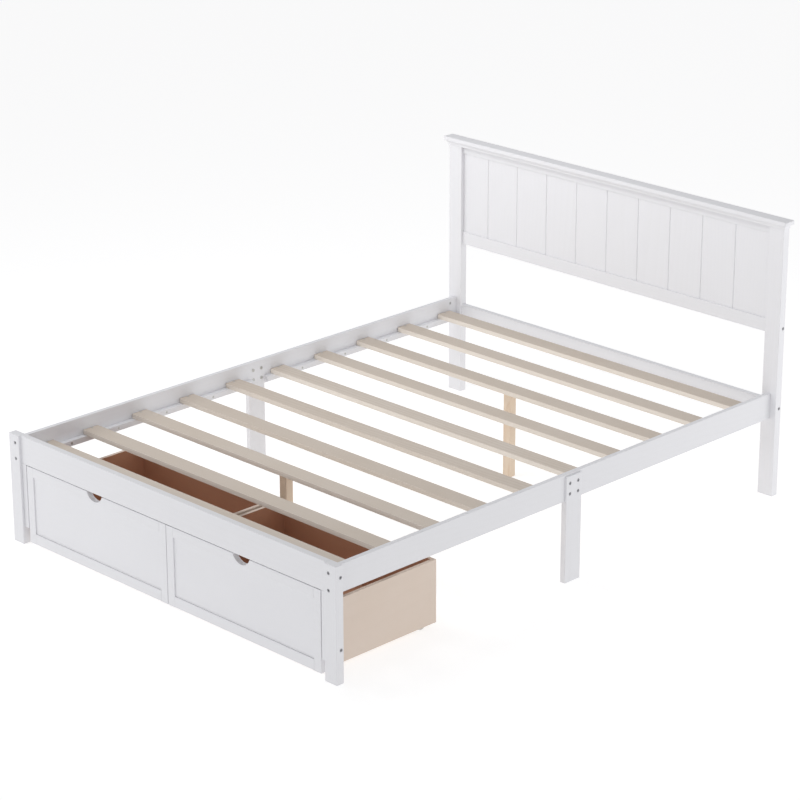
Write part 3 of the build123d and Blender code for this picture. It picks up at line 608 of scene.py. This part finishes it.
def pulled(tree, section, length):
    """Pulls a flat face up Z by a length and closes the solid."""
    drawn = add_node(tree, "GeometryNodeExtrudeMesh", {
        "Mesh": section, "Offset": join_xyz(tree, 0.0, 0.0, 1.0), "Offset Scale": length, "Individual": False,
    }, mode="FACES")
    back = add_node(tree, "GeometryNodeFlipFaces", {"Mesh": section})
    return merged(tree, joined_geometry(tree, [drawn.outputs["Mesh"], back.outputs[0]]))


def position_xyz(tree):
    return split_xyz(tree, add_node(tree, "GeometryNodeInputPosition").outputs[0])


def turned(tree, radii, levels, segments):
    """A lathe: a grid rolled up about Z, with a radius and a level for each point of its profile."""
    count = len(radii)
    columns = add(tree, segments, 1.0)
    grid = add_node(tree, "GeometryNodeMeshGrid", {
        "Size X": 1.0, "Size Y": 1.0, "Vertices X": columns, "Vertices Y": count,
    })
    x, y, _ = position_xyz(tree)
    angle = multiply(tree, add(tree, x, 0.5), 2 * math.pi)
    index = math_node(tree, "ROUND", multiply(tree, add(tree, y, 0.5), count - 1.0))
    radius = by_index(tree, index, radii)
    level = by_index(tree, index, levels)
    position = join_xyz(
        tree,
        multiply(tree, radius, math_node(tree, "COSINE", angle)),
        multiply(tree, radius, math_node(tree, "SINE", angle)),
        level,
    )
    rolled = placed_at(tree, grid.outputs["Mesh"], {"Position": position})
    return merged(tree, rolled, 2e-6)


def half(tree, socket):
    return multiply(tree, socket, 0.5)


def moved(tree, geometry, x=0.0, y=0.0, z=0.0):
    inputs = {"Geometry": geometry, "Translation": join_xyz(tree, x, y, z)}
    return add_node(tree, "GeometryNodeTransform", inputs).outputs[0]


def difference(tree, solid, cutters):
    cut = tree.nodes.new("GeometryNodeMeshBoolean")
    cut.operation = "DIFFERENCE"
    cut.solver = "EXACT"
    tree.links.new(solid, cut.inputs["Mesh 1"])
    for cutter in cutters:
        tree.links.new(cutter, cut.inputs["Mesh 2"])
    return cut.outputs["Mesh"]


def close_tree(tree, geometry, given, out):
    """Every tree ends in Realize Instances and Set Material."""
    inputs = {"Geometry": realized(tree, geometry), "Material": given["Material"]}
    done = add_node(tree, "GeometryNodeSetMaterial", inputs)
    tree.links.new(done.outputs[0], out["Geometry"])


FASTENER_INPUTS = [
    ("Geometry", "NodeSocketGeometry", None),
    ("Head Diameter", "NodeSocketFloat", 0.010),
    ("Head Height", "NodeSocketFloat", 0.004),
    ("Head Foot Diameter", "NodeSocketFloat", 0.010),
    ("Rim", "NodeSocketFloat", 0.0005),
    ("Shank Diameter", "NodeSocketFloat", 0.006),
    ("Tip Length", "NodeSocketFloat", 0.001),
    ("Tip Diameter", "NodeSocketFloat", 0.005),
    ("Recess Size", "NodeSocketFloat", 0.005),
    ("Recess Depth", "NodeSocketFloat", 0.0025),
    ("Segments", "NodeSocketInt", 32),
    ("Material", "NodeSocketMaterial", None),
]


def build_fastener_tree(recess):
    """Bolts and screws on points. The head lies at the point and the shank runs along its direction.

    Recess is hexagon, cross or slot. A shank is stretched to its point's length after it is placed."""
    tree, given, out = new_group(
        f"{recess}_fastener", "GeometryNodeTree", FASTENER_INPUTS, [("Geometry", "NodeSocketGeometry")]
    )
    head = half(tree, given["Head Diameter"])
    foot = half(tree, given["Head Foot Diameter"])
    shank = half(tree, given["Shank Diameter"])
    tip = half(tree, given["Tip Diameter"])
    height, rim = given["Head Height"], given["Rim"]
    shoulder = add(tree, height, 0.001)
    end = add(tree, shoulder, given["Tip Length"])
    radii = [0.0, subtract(tree, head, rim), head, foot, shank, shank, tip, 0.0]
    levels = [0.0, 0.0, rim, height, height, shoulder, end, end]
    solid = turned(tree, radii, levels, given["Segments"])

    size, depth = given["Recess Size"], given["Recess Depth"]
    if recess == "hexagon":
        radius = math_node(tree, "DIVIDE", size, 2 * math.cos(math.radians(30)))
        cutters = [add_node(tree, "GeometryNodeMeshCylinder", {
            "Vertices": 6, "Radius": radius, "Depth": multiply(tree, depth, 2.0),
        }).outputs["Mesh"]]
    else:
        narrow = multiply(tree, size, 0.22)
        deep = multiply(tree, depth, 2.0)
        shapes = [join_xyz(tree, size, narrow, deep)]
        if recess == "cross":
            shapes.append(join_xyz(tree, narrow, size, deep))
        cutters = [add_node(tree, "GeometryNodeMeshCube", {"Size": s}).outputs["Mesh"] for s in shapes]
    solid = difference(tree, solid, cutters)

    lower = math_node(tree, "GREATER_THAN", position_xyz(tree)[2], add(tree, height, 0.0005))
    solid = add_node(
        tree, "GeometryNodeStoreNamedAttribute", {"Geometry": solid, "Name": "lower", "Value": lower},
        data_type="FLOAT", domain="POINT",
    ).outputs[0]
    direction = named(tree, "direction", "FLOAT_VECTOR")
    turn = add_node(tree, "FunctionNodeAlignRotationToVector", {"Vector": direction}, axis="Z")
    real = realized(tree, on_points(tree, given["Geometry"], solid, Rotation=turn.outputs[0]))
    missing = subtract(tree, named(tree, "length", "FLOAT"), end)
    reach = multiply(tree, missing, named(tree, "lower", "FLOAT"))
    offset = vector_node(tree, "SCALE", named(tree, "direction", "FLOAT_VECTOR"), scale=reach)
    close_tree(tree, placed_at(tree, real, {"Offset": offset}), given, out)
    return tree


def build_slat_tree():
    """A row of slats with eased edges, one on each point, with countersunk holes at the hole points."""
    tree, given, out = new_group(
        "slat_row", "GeometryNodeTree",
        [
            ("Geometry", "NodeSocketGeometry", None),
            ("Length", "NodeSocketFloat", 1.38),
            ("Width", "NodeSocketFloat", 0.06),
            ("Thickness", "NodeSocketFloat", 0.016),
            ("Edge Radius", "NodeSocketFloat", 0.0015),
            ("Edge Steps", "NodeSocketInt", 4),
            ("Hole Inset", "NodeSocketFloat", 0.007),
            ("Hole Diameter", "NodeSocketFloat", 0.0081),
            ("Shank Hole Diameter", "NodeSocketFloat", 0.0041),
            ("Material", "NodeSocketMaterial", None),
        ],
        [("Geometry", "NodeSocketGeometry")],
    )
    outline = add_node(tree, "GeometryNodeCurvePrimitiveQuadrilateral", {
        "Width": given["Width"], "Height": given["Thickness"],
    })
    rounded = add_node(tree, "GeometryNodeFilletCurve", {
        "Curve": outline.outputs[0], "Count": given["Edge Steps"], "Radius": given["Edge Radius"],
    }, mode="POLY")
    face = add_node(tree, "GeometryNodeFillCurve", {"Curve": rounded.outputs[0]}, mode="NGONS")
    whole = pulled(tree, face.outputs[0], given["Length"])
    # The section is drawn in X and Y and pulled up Z; turning it lays the slat's length along X.
    middle = moved(tree, whole, 0.0, 0.0, multiply(tree, given["Length"], -0.5))
    laid = add_node(tree, "GeometryNodeTransform", {
        "Geometry": middle, "Rotation": (math.radians(90), 0.0, math.radians(90)),
    })
    solid = realized(tree, on_points(tree, given["Geometry"], laid.outputs[0]))

    wide, narrow = half(tree, given["Hole Diameter"]), half(tree, given["Shank Hole Diameter"])
    sink = subtract(tree, wide, narrow)
    cone = add_node(tree, "GeometryNodeMeshCone", {
        "Vertices": 24, "Radius Top": wide, "Radius Bottom": narrow, "Depth": sink,
    })
    bore = add_node(tree, "GeometryNodeMeshCylinder", {
        "Vertices": 24, "Radius": narrow, "Depth": multiply(tree, given["Thickness"], 1.5),
    })
    top = half(tree, given["Thickness"])
    cone_at = moved(tree, cone.outputs["Mesh"], 0.0, 0.0, subtract(tree, top, sink))
    reach = subtract(tree, half(tree, given["Length"]), given["Hole Inset"])
    cutters = []
    for cutter in (cone_at, bore.outputs["Mesh"]):
        for sign in (-1.0, 1.0):
            shifted = moved(tree, cutter, multiply(tree, reach, sign))
            cutters.append(realized(tree, on_points(tree, given["Geometry"], shifted)))
    close_tree(tree, difference(tree, solid, cutters), given, out)
    return tree


def build_board_tree():
    """Upright boards side by side: bevelled front edges, a tongue on one side and a groove in the other."""
    tree, given, out = new_group(
        "board_row", "GeometryNodeTree",
        [
            ("Geometry", "NodeSocketGeometry", None),
            ("Pitch", "NodeSocketFloat", 0.135),
            ("Gap", "NodeSocketFloat", 0.0002),
            ("Thickness", "NodeSocketFloat", 0.008),
            ("Height", "NodeSocketFloat", 0.3),
            ("Bevel", "NodeSocketFloat", 0.0022),
            ("Tongue Length", "NodeSocketFloat", 0.005),
            ("Tongue Thickness", "NodeSocketFloat", 0.0026),
            ("Count", "NodeSocketInt", 10),
            ("Row Start", "NodeSocketFloat", -0.7),
            ("Left End", "NodeSocketFloat", -0.68),
            ("Right End", "NodeSocketFloat", 0.68),
            ("Material", "NodeSocketMaterial", None),
        ],
        [("Geometry", "NodeSocketGeometry")],
    )
    left = half(tree, given["Gap"])
    right = subtract(tree, given["Pitch"], left)
    depth, bevel = given["Thickness"], given["Bevel"]
    tongue = half(tree, given["Tongue Thickness"])
    slot = add(tree, tongue, given["Gap"])
    centre = half(tree, depth)
    tongue_end = add(tree, right, given["Tongue Length"])
    slot_end = add(tree, add(tree, left, given["Tongue Length"]), given["Gap"])
    xs = [
        add(tree, left, bevel), subtract(tree, right, bevel), right, right, tongue_end,
        tongue_end, right, right, left, left, slot_end, slot_end, left, left,
    ]
    ys = [
        0.0, 0.0, bevel, subtract(tree, centre, tongue), subtract(tree, centre, tongue),
        add(tree, centre, tongue), add(tree, centre, tongue), depth, depth,
        add(tree, centre, slot), add(tree, centre, slot),
        subtract(tree, centre, slot), subtract(tree, centre, slot), bevel,
    ]
    ring = add_node(tree, "GeometryNodeMeshCircle", {"Vertices": len(xs), "Radius": 1.0}, fill_type="NGON")
    index = add_node(tree, "GeometryNodeInputIndex").outputs[0]
    outline = join_xyz(tree, by_index(tree, index, xs), by_index(tree, index, ys))
    section = placed_at(tree, ring.outputs[0], {"Position": outline})
    whole = pulled(tree, section, given["Height"])
    number = add_node(tree, "GeometryNodeInputIndex").outputs[0]
    marked = add_node(
        tree, "GeometryNodeStoreNamedAttribute",
        {"Geometry": given["Geometry"], "Name": "board", "Value": number}, data_type="FLOAT", domain="POINT",
    )
    real = realized(tree, on_points(tree, marked.outputs[0], whole))
    # The two end boards stretch into the grooves of the posts.
    x = position_xyz(tree)[0]
    board = named(tree, "board", "FLOAT")
    from_start = subtract(tree, x, given["Row Start"])
    row_length = multiply(tree, given["Pitch"], given["Count"])
    last = subtract(tree, given["Count"], 1.5)
    middle = half(tree, given["Pitch"])
    left_half = math_node(tree, "LESS_THAN", from_start, middle)
    right_half = math_node(tree, "GREATER_THAN", from_start, subtract(tree, row_length, middle))
    at_left = multiply(tree, math_node(tree, "LESS_THAN", board, 0.5), left_half)
    at_right = multiply(tree, math_node(tree, "GREATER_THAN", board, last), right_half)
    left_pull = subtract(tree, subtract(tree, given["Left End"], given["Row Start"]), left)
    right_edge = subtract(tree, add(tree, given["Row Start"], row_length), left)
    right_pull = subtract(tree, given["Right End"], right_edge)
    pull = multiply_add(tree, at_left, left_pull, multiply(tree, at_right, right_pull))
    # The last board's tongue is cut off: its end face lies where the plain edge would.
    past_edge = math_node(tree, "GREATER_THAN", x, add(tree, right_edge, 0.001))
    over = multiply(tree, at_right, past_edge)
    pull = subtract(tree, pull, multiply(tree, over, given["Tongue Length"]))
    close_tree(tree, placed_at(tree, real, {"Offset": join_xyz(tree, pull)}), given, out)
    return tree


def build_wheel_tree():
    """A moulded caster wheel about X: rounded tread, sunk faces with ribs, and a raised hub with a bore."""
    tree, given, out = new_group(
        "caster_wheel", "GeometryNodeTree",
        [
            ("Geometry", "NodeSocketGeometry", None),
            ("Diameter", "NodeSocketFloat", 0.032),
            ("Width", "NodeSocketFloat", 0.012),
            ("Bore", "NodeSocketFloat", 0.0052),
            ("Hub Diameter", "NodeSocketFloat", 0.012),
            ("Rim Diameter", "NodeSocketFloat", 0.023),
            ("Sink", "NodeSocketFloat", 0.0015),
            ("Tread Round", "NodeSocketFloat", 0.0015),
            ("Ribs", "NodeSocketInt", 6),
            ("Rib Thickness", "NodeSocketFloat", 0.0014),
            ("Segments", "NodeSocketInt", 48),
            ("Material", "NodeSocketMaterial", None),
        ],
        [("Geometry", "NodeSocketGeometry")],
    )
    outer, rim = half(tree, given["Diameter"]), half(tree, given["Rim Diameter"])
    hub, bore = half(tree, given["Hub Diameter"]), half(tree, given["Bore"])
    side = half(tree, given["Width"])
    floor_level = subtract(tree, side, given["Sink"])
    soft = given["Tread Round"]
    shift = [multiply(tree, soft, share) for share in (1.0, 0.293, 0.0)]
    radii_half = [bore, hub, hub, rim, rim] + [subtract(tree, outer, s) for s in shift]
    levels_half = [side, side, floor_level, floor_level, side, side,
                   subtract(tree, side, shift[1]), subtract(tree, side, shift[0])]
    low_half = [multiply(tree, level, -1.0) for level in levels_half]
    radii = radii_half + radii_half[::-1] + [bore]
    levels = levels_half + low_half[::-1] + [side]
    solid = turned(tree, radii, levels, given["Segments"])

    overlap = 0.0004
    length = add(tree, subtract(tree, rim, hub), 2 * overlap)
    rib = add_node(tree, "GeometryNodeMeshCube", {
        "Size": join_xyz(tree, length, given["Rib Thickness"], add(tree, given["Sink"], -overlap)),
    })
    middle = multiply(tree, add(tree, rim, hub), 0.5)
    lift = subtract(tree, subtract(tree, side, half(tree, given["Sink"])), overlap)
    spokes = []
    for sign in (1.0, -1.0):
        placed = moved(tree, rib.outputs["Mesh"], middle, 0.0, multiply(tree, lift, sign))
        points = add_node(tree, "GeometryNodePoints", {"Count": given["Ribs"]})
        index = add_node(tree, "GeometryNodeInputIndex").outputs[0]
        turn = math_node(tree, "DIVIDE", multiply(tree, index, 2 * math.pi), given["Ribs"])
        spokes.append(on_points(tree, points.outputs[0], placed, Rotation=join_xyz(tree, 0.0, 0.0, turn)))
    upright = add_node(tree, "GeometryNodeTransform", {
        "Geometry": joined_geometry(tree, [solid, *spokes]), "Rotation": (0.0, math.radians(90), 0.0),
    })
    close_tree(tree, on_points(tree, given["Geometry"], upright.outputs[0]), given, out)
    return tree


HEX_TREE = build_fastener_tree("hexagon")
CROSS_TREE = build_fastener_tree("cross")
SLOT_TREE = build_fastener_tree("slot")
SLAT_TREE = build_slat_tree()
BOARD_TREE = build_board_tree()
WHEEL_TREE = build_wheel_tree()

# ------------------------------------------------------------------ fasteners
BOLT_SIZES = {
    "Head Diameter": 10 * MM, "Head Height": 4 * MM, "Head Foot Diameter": 10 * MM, "Rim": 0.6 * MM,
    "Shank Diameter": 6 * MM, "Tip Length": 1 * MM, "Tip Diameter": 5 * MM,
    "Recess Size": 5 * MM, "Recess Depth": 2.5 * MM, "Segments": 40, "Material": BOLT_STEEL,
}
SCREW_SIZES = {
    "Head Diameter": 8 * MM, "Head Height": 2.2 * MM, "Head Foot Diameter": 4 * MM, "Rim": 0.2 * MM,
    "Shank Diameter": 4 * MM, "Tip Length": 4 * MM, "Tip Diameter": 1 * MM,
    "Recess Size": 4.4 * MM, "Recess Depth": 1.2 * MM, "Segments": 24, "Material": ZINC,
}
NUT_SIZES = {
    "Head Diameter": 10 * MM, "Head Height": 4 * MM, "Head Foot Diameter": 10 * MM, "Rim": 0.5 * MM,
    "Shank Diameter": 10 * MM, "Tip Length": 0.5 * MM, "Tip Diameter": 9 * MM,
    "Recess Size": 7 * MM, "Recess Depth": 1.5 * MM, "Segments": 32, "Material": ZINC,
}
SLEEVE_SIZES = {
    "Head Diameter": 12 * MM, "Head Height": 1.5 * MM, "Head Foot Diameter": 12 * MM, "Rim": 0.5 * MM,
    "Shank Diameter": 8 * MM, "Tip Length": 0.5 * MM, "Tip Diameter": 7 * MM,
    "Recess Size": 5 * MM, "Recess Depth": 1.2 * MM, "Segments": 32, "Material": ZINC,
}
PLATE_SCREW_SIZES = {
    "Head Diameter": 5.6 * MM, "Head Height": 1.3 * MM, "Head Foot Diameter": 3 * MM, "Rim": 0.15 * MM,
    "Shank Diameter": 3 * MM, "Tip Length": 3 * MM, "Tip Diameter": 0.8 * MM,
    "Recess Size": 3.2 * MM, "Recess Depth": 0.9 * MM, "Segments": 20, "Material": ZINC,
}
CAM_SIZES = {
    "Head Diameter": 15 * MM, "Head Height": 4 * MM, "Head Foot Diameter": 15 * MM, "Rim": 0.4 * MM,
    "Shank Diameter": 15 * MM, "Tip Length": 0.4 * MM, "Tip Diameter": 14.2 * MM,
    "Recess Size": 8 * MM, "Recess Depth": 2 * MM, "Segments": 32, "Material": ZINC,
}
PIN_SIZES = {
    "Head Diameter": 6 * MM, "Head Height": 2 * MM, "Head Foot Diameter": 6 * MM, "Rim": 0.5 * MM,
    "Shank Diameter": 6 * MM, "Tip Length": 1 * MM, "Tip Diameter": 5 * MM,
    "Recess Size": 3 * MM, "Recess Depth": 1 * MM, "Segments": 24, "Material": ZINC,
}


def facing(places, toward):
    """Turns each place so that its head faces the way that toward says for its axis."""
    turned_places = []
    for head, direction, length in places:
        wanted = toward(head, direction)
        if direction.dot(wanted) > 0:
            head, direction = head + direction * length, -direction
        turned_places.append((head, direction, length))
    return turned_places


def entry_side(head, direction):
    """Nuts go into the rails from inside the bed, or from behind where the rail runs across."""
    if abs(direction.x) > 0.5:
        return Vector((-math.copysign(1, head.x), 0, 0))
    return Vector((0, 1, 0))


FASTENERS = [
    ("socket_head_bolts", "frame_bolts", HEX_TREE, BOLT_SIZES, "bolt_steel"),
    ("deck_screws", "wood_screws", CROSS_TREE, SCREW_SIZES, "zinc_steel"),
    ("cross_dowel_nuts", "barrel_nuts", SLOT_TREE, NUT_SIZES, "zinc_steel"),
    ("flanged_sleeves", "sleeve_nuts", HEX_TREE, SLEEVE_SIZES, "zinc_steel"),
]
for piece_name, node, tree, sizes, slot in FASTENERS:
    places = [fastener_place(s) for s in separate_solids(node)]
    if node.endswith("nuts"):
        places = facing(places, entry_side)
    mesh = grown_mesh(piece_name, point_mesh("points", places), tree, sizes)
    place_piece(piece_name, mesh, "bed_frame", [node])


def drawer_fittings(name):
    """Cam locks, their pins, the back's screws and the caster plates' screws of one drawer."""
    groups = {"screw": [], "pin": [], "cam": [], "plate": []}
    for solid in separate_solids(f"drawer_{name}_fittings"):
        low, high = extent(solid)
        longest = max(high - low)
        if longest > 27.5 * MM:
            groups["screw"].append(fastener_place(solid))
        elif longest > 20 * MM:
            groups["pin"].append(fastener_place(solid))
        elif longest > 10 * MM:
            groups["cam"].append(fastener_place(solid, flat=True))
        else:
            groups["plate"].append(fastener_place(solid))
    middle = sum(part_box(f"drawer_{name}_back"), Vector()) / 2
    groups["cam"] = facing(
        groups["cam"], lambda head, direction: Vector((math.copysign(1, middle.x - head.x), 0, 0))
    )
    made = [
        grown_mesh(f"{name}_back_screws", point_mesh("p", groups["screw"]), CROSS_TREE, SCREW_SIZES),
        grown_mesh(f"{name}_cam_pins", point_mesh("p", groups["pin"]), SLOT_TREE, PIN_SIZES),
        grown_mesh(f"{name}_cams", point_mesh("p", groups["cam"]), CROSS_TREE, CAM_SIZES),
        grown_mesh(f"{name}_plate_screws", point_mesh("p", groups["plate"]), CROSS_TREE, PLATE_SCREW_SIZES),
    ]
    mesh = joined(made, f"drawer_{name}_hardware")
    return place_piece(mesh.name, mesh, f"drawer_{name}", [f"drawer_{name}_fittings"])


for side_name in SIDES:
    drawer_fittings(side_name)

# ------------------------------------------------------------------ slats
slat_nodes = [f"slat_{number:02d}" for number in range(1, 11)]
slat_boxes = [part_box(n) for n in slat_nodes]
slat_low, slat_high = slat_boxes[0]
slat_points = [((low + high) / 2, Vector((1, 0, 0)), 0.0) for low, high in slat_boxes]
slat_mesh = grown_mesh("slat_row", point_mesh("slat_points", slat_points), SLAT_TREE, {
    "Length": slat_high.x - slat_low.x, "Width": slat_high.y - slat_low.y,
    "Thickness": slat_high.z - slat_low.z, "Edge Radius": 1.5 * MM, "Edge Steps": 4, "Hole Inset": 7 * MM,
    "Hole Diameter": 8.1 * MM, "Shank Hole Diameter": 4.1 * MM, "Material": SLAT_WOOD,
})
place_piece("slat_row", slat_mesh, "bed_frame", slat_nodes)

# ------------------------------------------------------------------ headboard boards
board_points = [
    (Vector((board_row_start + board_pitch * n, board_low.y, board_low.z)), Vector((0, 0, 1)), 0.0)
    for n in range(BOARD_COUNT)
]
board_mesh = grown_mesh("headboard_board_row", point_mesh("board_points", board_points), BOARD_TREE, {
    "Pitch": board_pitch, "Gap": 0.2 * MM, "Thickness": board_high.y - board_low.y,
    "Height": board_high.z - board_low.z, "Bevel": 2.2 * MM, "Tongue Length": 5 * MM,
    "Tongue Thickness": 2.6 * MM, "Count": BOARD_COUNT, "Row Start": board_row_start,
    "Left End": board_low.x, "Right End": board_high.x, "Material": PAINT["boards"],
})
place_piece("headboard_board_row", board_mesh, "bed_frame", ["headboard_boards"])


# ------------------------------------------------------------------ caster wheels
WHEEL_SIZES = {
    "Bore": 5.16 * MM, "Hub Diameter": 12.16 * MM, "Rim Diameter": 23.04 * MM, "Sink": 1.5 * MM,
    "Tread Round": 1.5 * MM, "Ribs": 6, "Rib Thickness": 1.4 * MM, "Segments": 48, "Material": NYLON,
}
for side_name in SIDES:
    for number in range(1, 5):
        node = f"wheel_{side_name}_{number}"
        low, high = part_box(node)
        base = point_mesh("wheel_point", [((low + high) / 2, Vector((1, 0, 0)), 0.0)])
        sizes = {"Diameter": high.z - low.z, "Width": high.x - low.x, **WHEEL_SIZES}
        wheel_mesh = grown_mesh(f"caster_wheel_{side_name}_{number}", base, WHEEL_TREE, sizes)
        place_piece(wheel_mesh.name, wheel_mesh, f"{node}_body", [node])

# ------------------------------------------------------------------ finishes of the carried-over nodes
FINISHES = {
    PAINT["X"]: ["foot_top_rail", "head_cross_rail", "drawer_*_front"],
    PAINT["head X"]: ["headboard_bottom_rail", "headboard_top_rail", "headboard_cap", "headboard_crown"],
    PAINT["Y"]: ["side_rail_*_foot", "side_rail_*_head", "cleats_*"],
    PAINT["Z"]: ["foot_post_*", "foot_filler_*", "mid_leg_*"],
    PAINT["head Z"]: ["head_post_*"],
    PAINT["panel"]: ["drawer_*_panel"],
    LEG_WOOD: ["centre_leg_foot", "centre_leg_head"],
    DRAWER_WOOD: ["drawer_*_sides"],
    DRAWER_CROSS: ["drawer_*_back", "drawer_*_bottom"],
    BEECH: ["dowels"],
    ZINC: ["drawer_*_casters"],
}
for material, patterns in FINISHES.items():
    # A star stands for each side in turn.
    for name in {pattern.replace("*", side) for pattern in patterns for side in SIDES}:
        NODES[name].data.materials.clear()
        NODES[name].data.materials.append(material)


# ------------------------------------------------------------------ floor, light and camera
def build_floor():
    size = 60.0
    mesh = bpy.data.meshes.new("studio_floor")
    mesh.from_pydata(
        [(-size, -size, 0), (size, -size, 0), (size, size, 0), (-size, size, 0)], [], [(0, 1, 2, 3)]
    )
    floor = bpy.data.objects.new("studio_floor", mesh)
    SCENE.collection.objects.link(floor)
    material = bpy.data.materials.new("studio_floor")
    material.use_nodes = True
    shader = material.node_tree.nodes["Principled BSDF"]
    shader.inputs["Base Color"].default_value = (0.6, 0.6, 0.6, 1)
    shader.inputs["Roughness"].default_value = 0.9
    shader.inputs["Specular IOR Level"].default_value = 0.0
    shader.inputs["Emission Color"].default_value = (1.0, 1.0, 1.0, 1)
    shader.inputs["Emission Strength"].default_value = 0.62
    mesh.materials.append(material)


def build_world():
    world = bpy.data.worlds.new("studio")
    world.use_nodes = True
    SCENE.world = world
    tree = world.node_tree
    direction = add_node(tree, "ShaderNodeTexCoord").outputs["Generated"]
    height = split_xyz(tree, direction)[2]
    rise = remap(tree, height, 0.0, 0.9, 0.0, 1.0, True)
    colour = mix_colour(tree, rise, (1.0, 1.0, 1.0, 1), (0.50, 0.50, 0.51, 1))
    background = tree.nodes["Background"]
    tree.links.new(colour, background.inputs["Color"])
    background.inputs["Strength"].default_value = 0.87


def area_light(name, place, target, size, power):
    light = bpy.data.lights.new(name, "AREA")
    light.size = size
    light.energy = power
    lamp = bpy.data.objects.new(name, light)
    lamp.location = place
    lamp.rotation_euler = (Vector(target) - Vector(place)).to_track_quat("-Z", "Y").to_euler()
    SCENE.collection.objects.link(lamp)


def build_camera():
    camera = bpy.data.cameras.new("camera")
    camera.sensor_width = 36
    camera.lens = 125.28
    camera.clip_end = 200
    holder = bpy.data.objects.new("camera", camera)
    forward = Vector((-0.6639, 0.6613, -0.3493)).normalized()
    right = Vector((0.7062, 0.7080, -0.0019))
    right = (right - forward * right.dot(forward)).normalized()
    up = right.cross(forward)
    turn = Matrix((right, up, -forward)).transposed().to_4x4()
    holder.matrix_world = Matrix.Translation((5.8003, -5.7915, 3.4525)) @ turn
    SCENE.collection.objects.link(holder)
    SCENE.camera = holder


build_floor()
build_world()
area_light("front_left", (-2.6, -2.4, 1.5), (0.0, -0.5, 0.4), 1.5, 18)
area_light("right_rear", (2.6, 2.4, 1.2), (0.7, 0.6, 0.4), 1.5, 14)
area_light("over_deck", (-0.6, -0.4, 2.4), (0.0, 0.9, 0.5), 1.2, 15)
build_camera()
SCENE.view_settings.view_transform = "Standard"
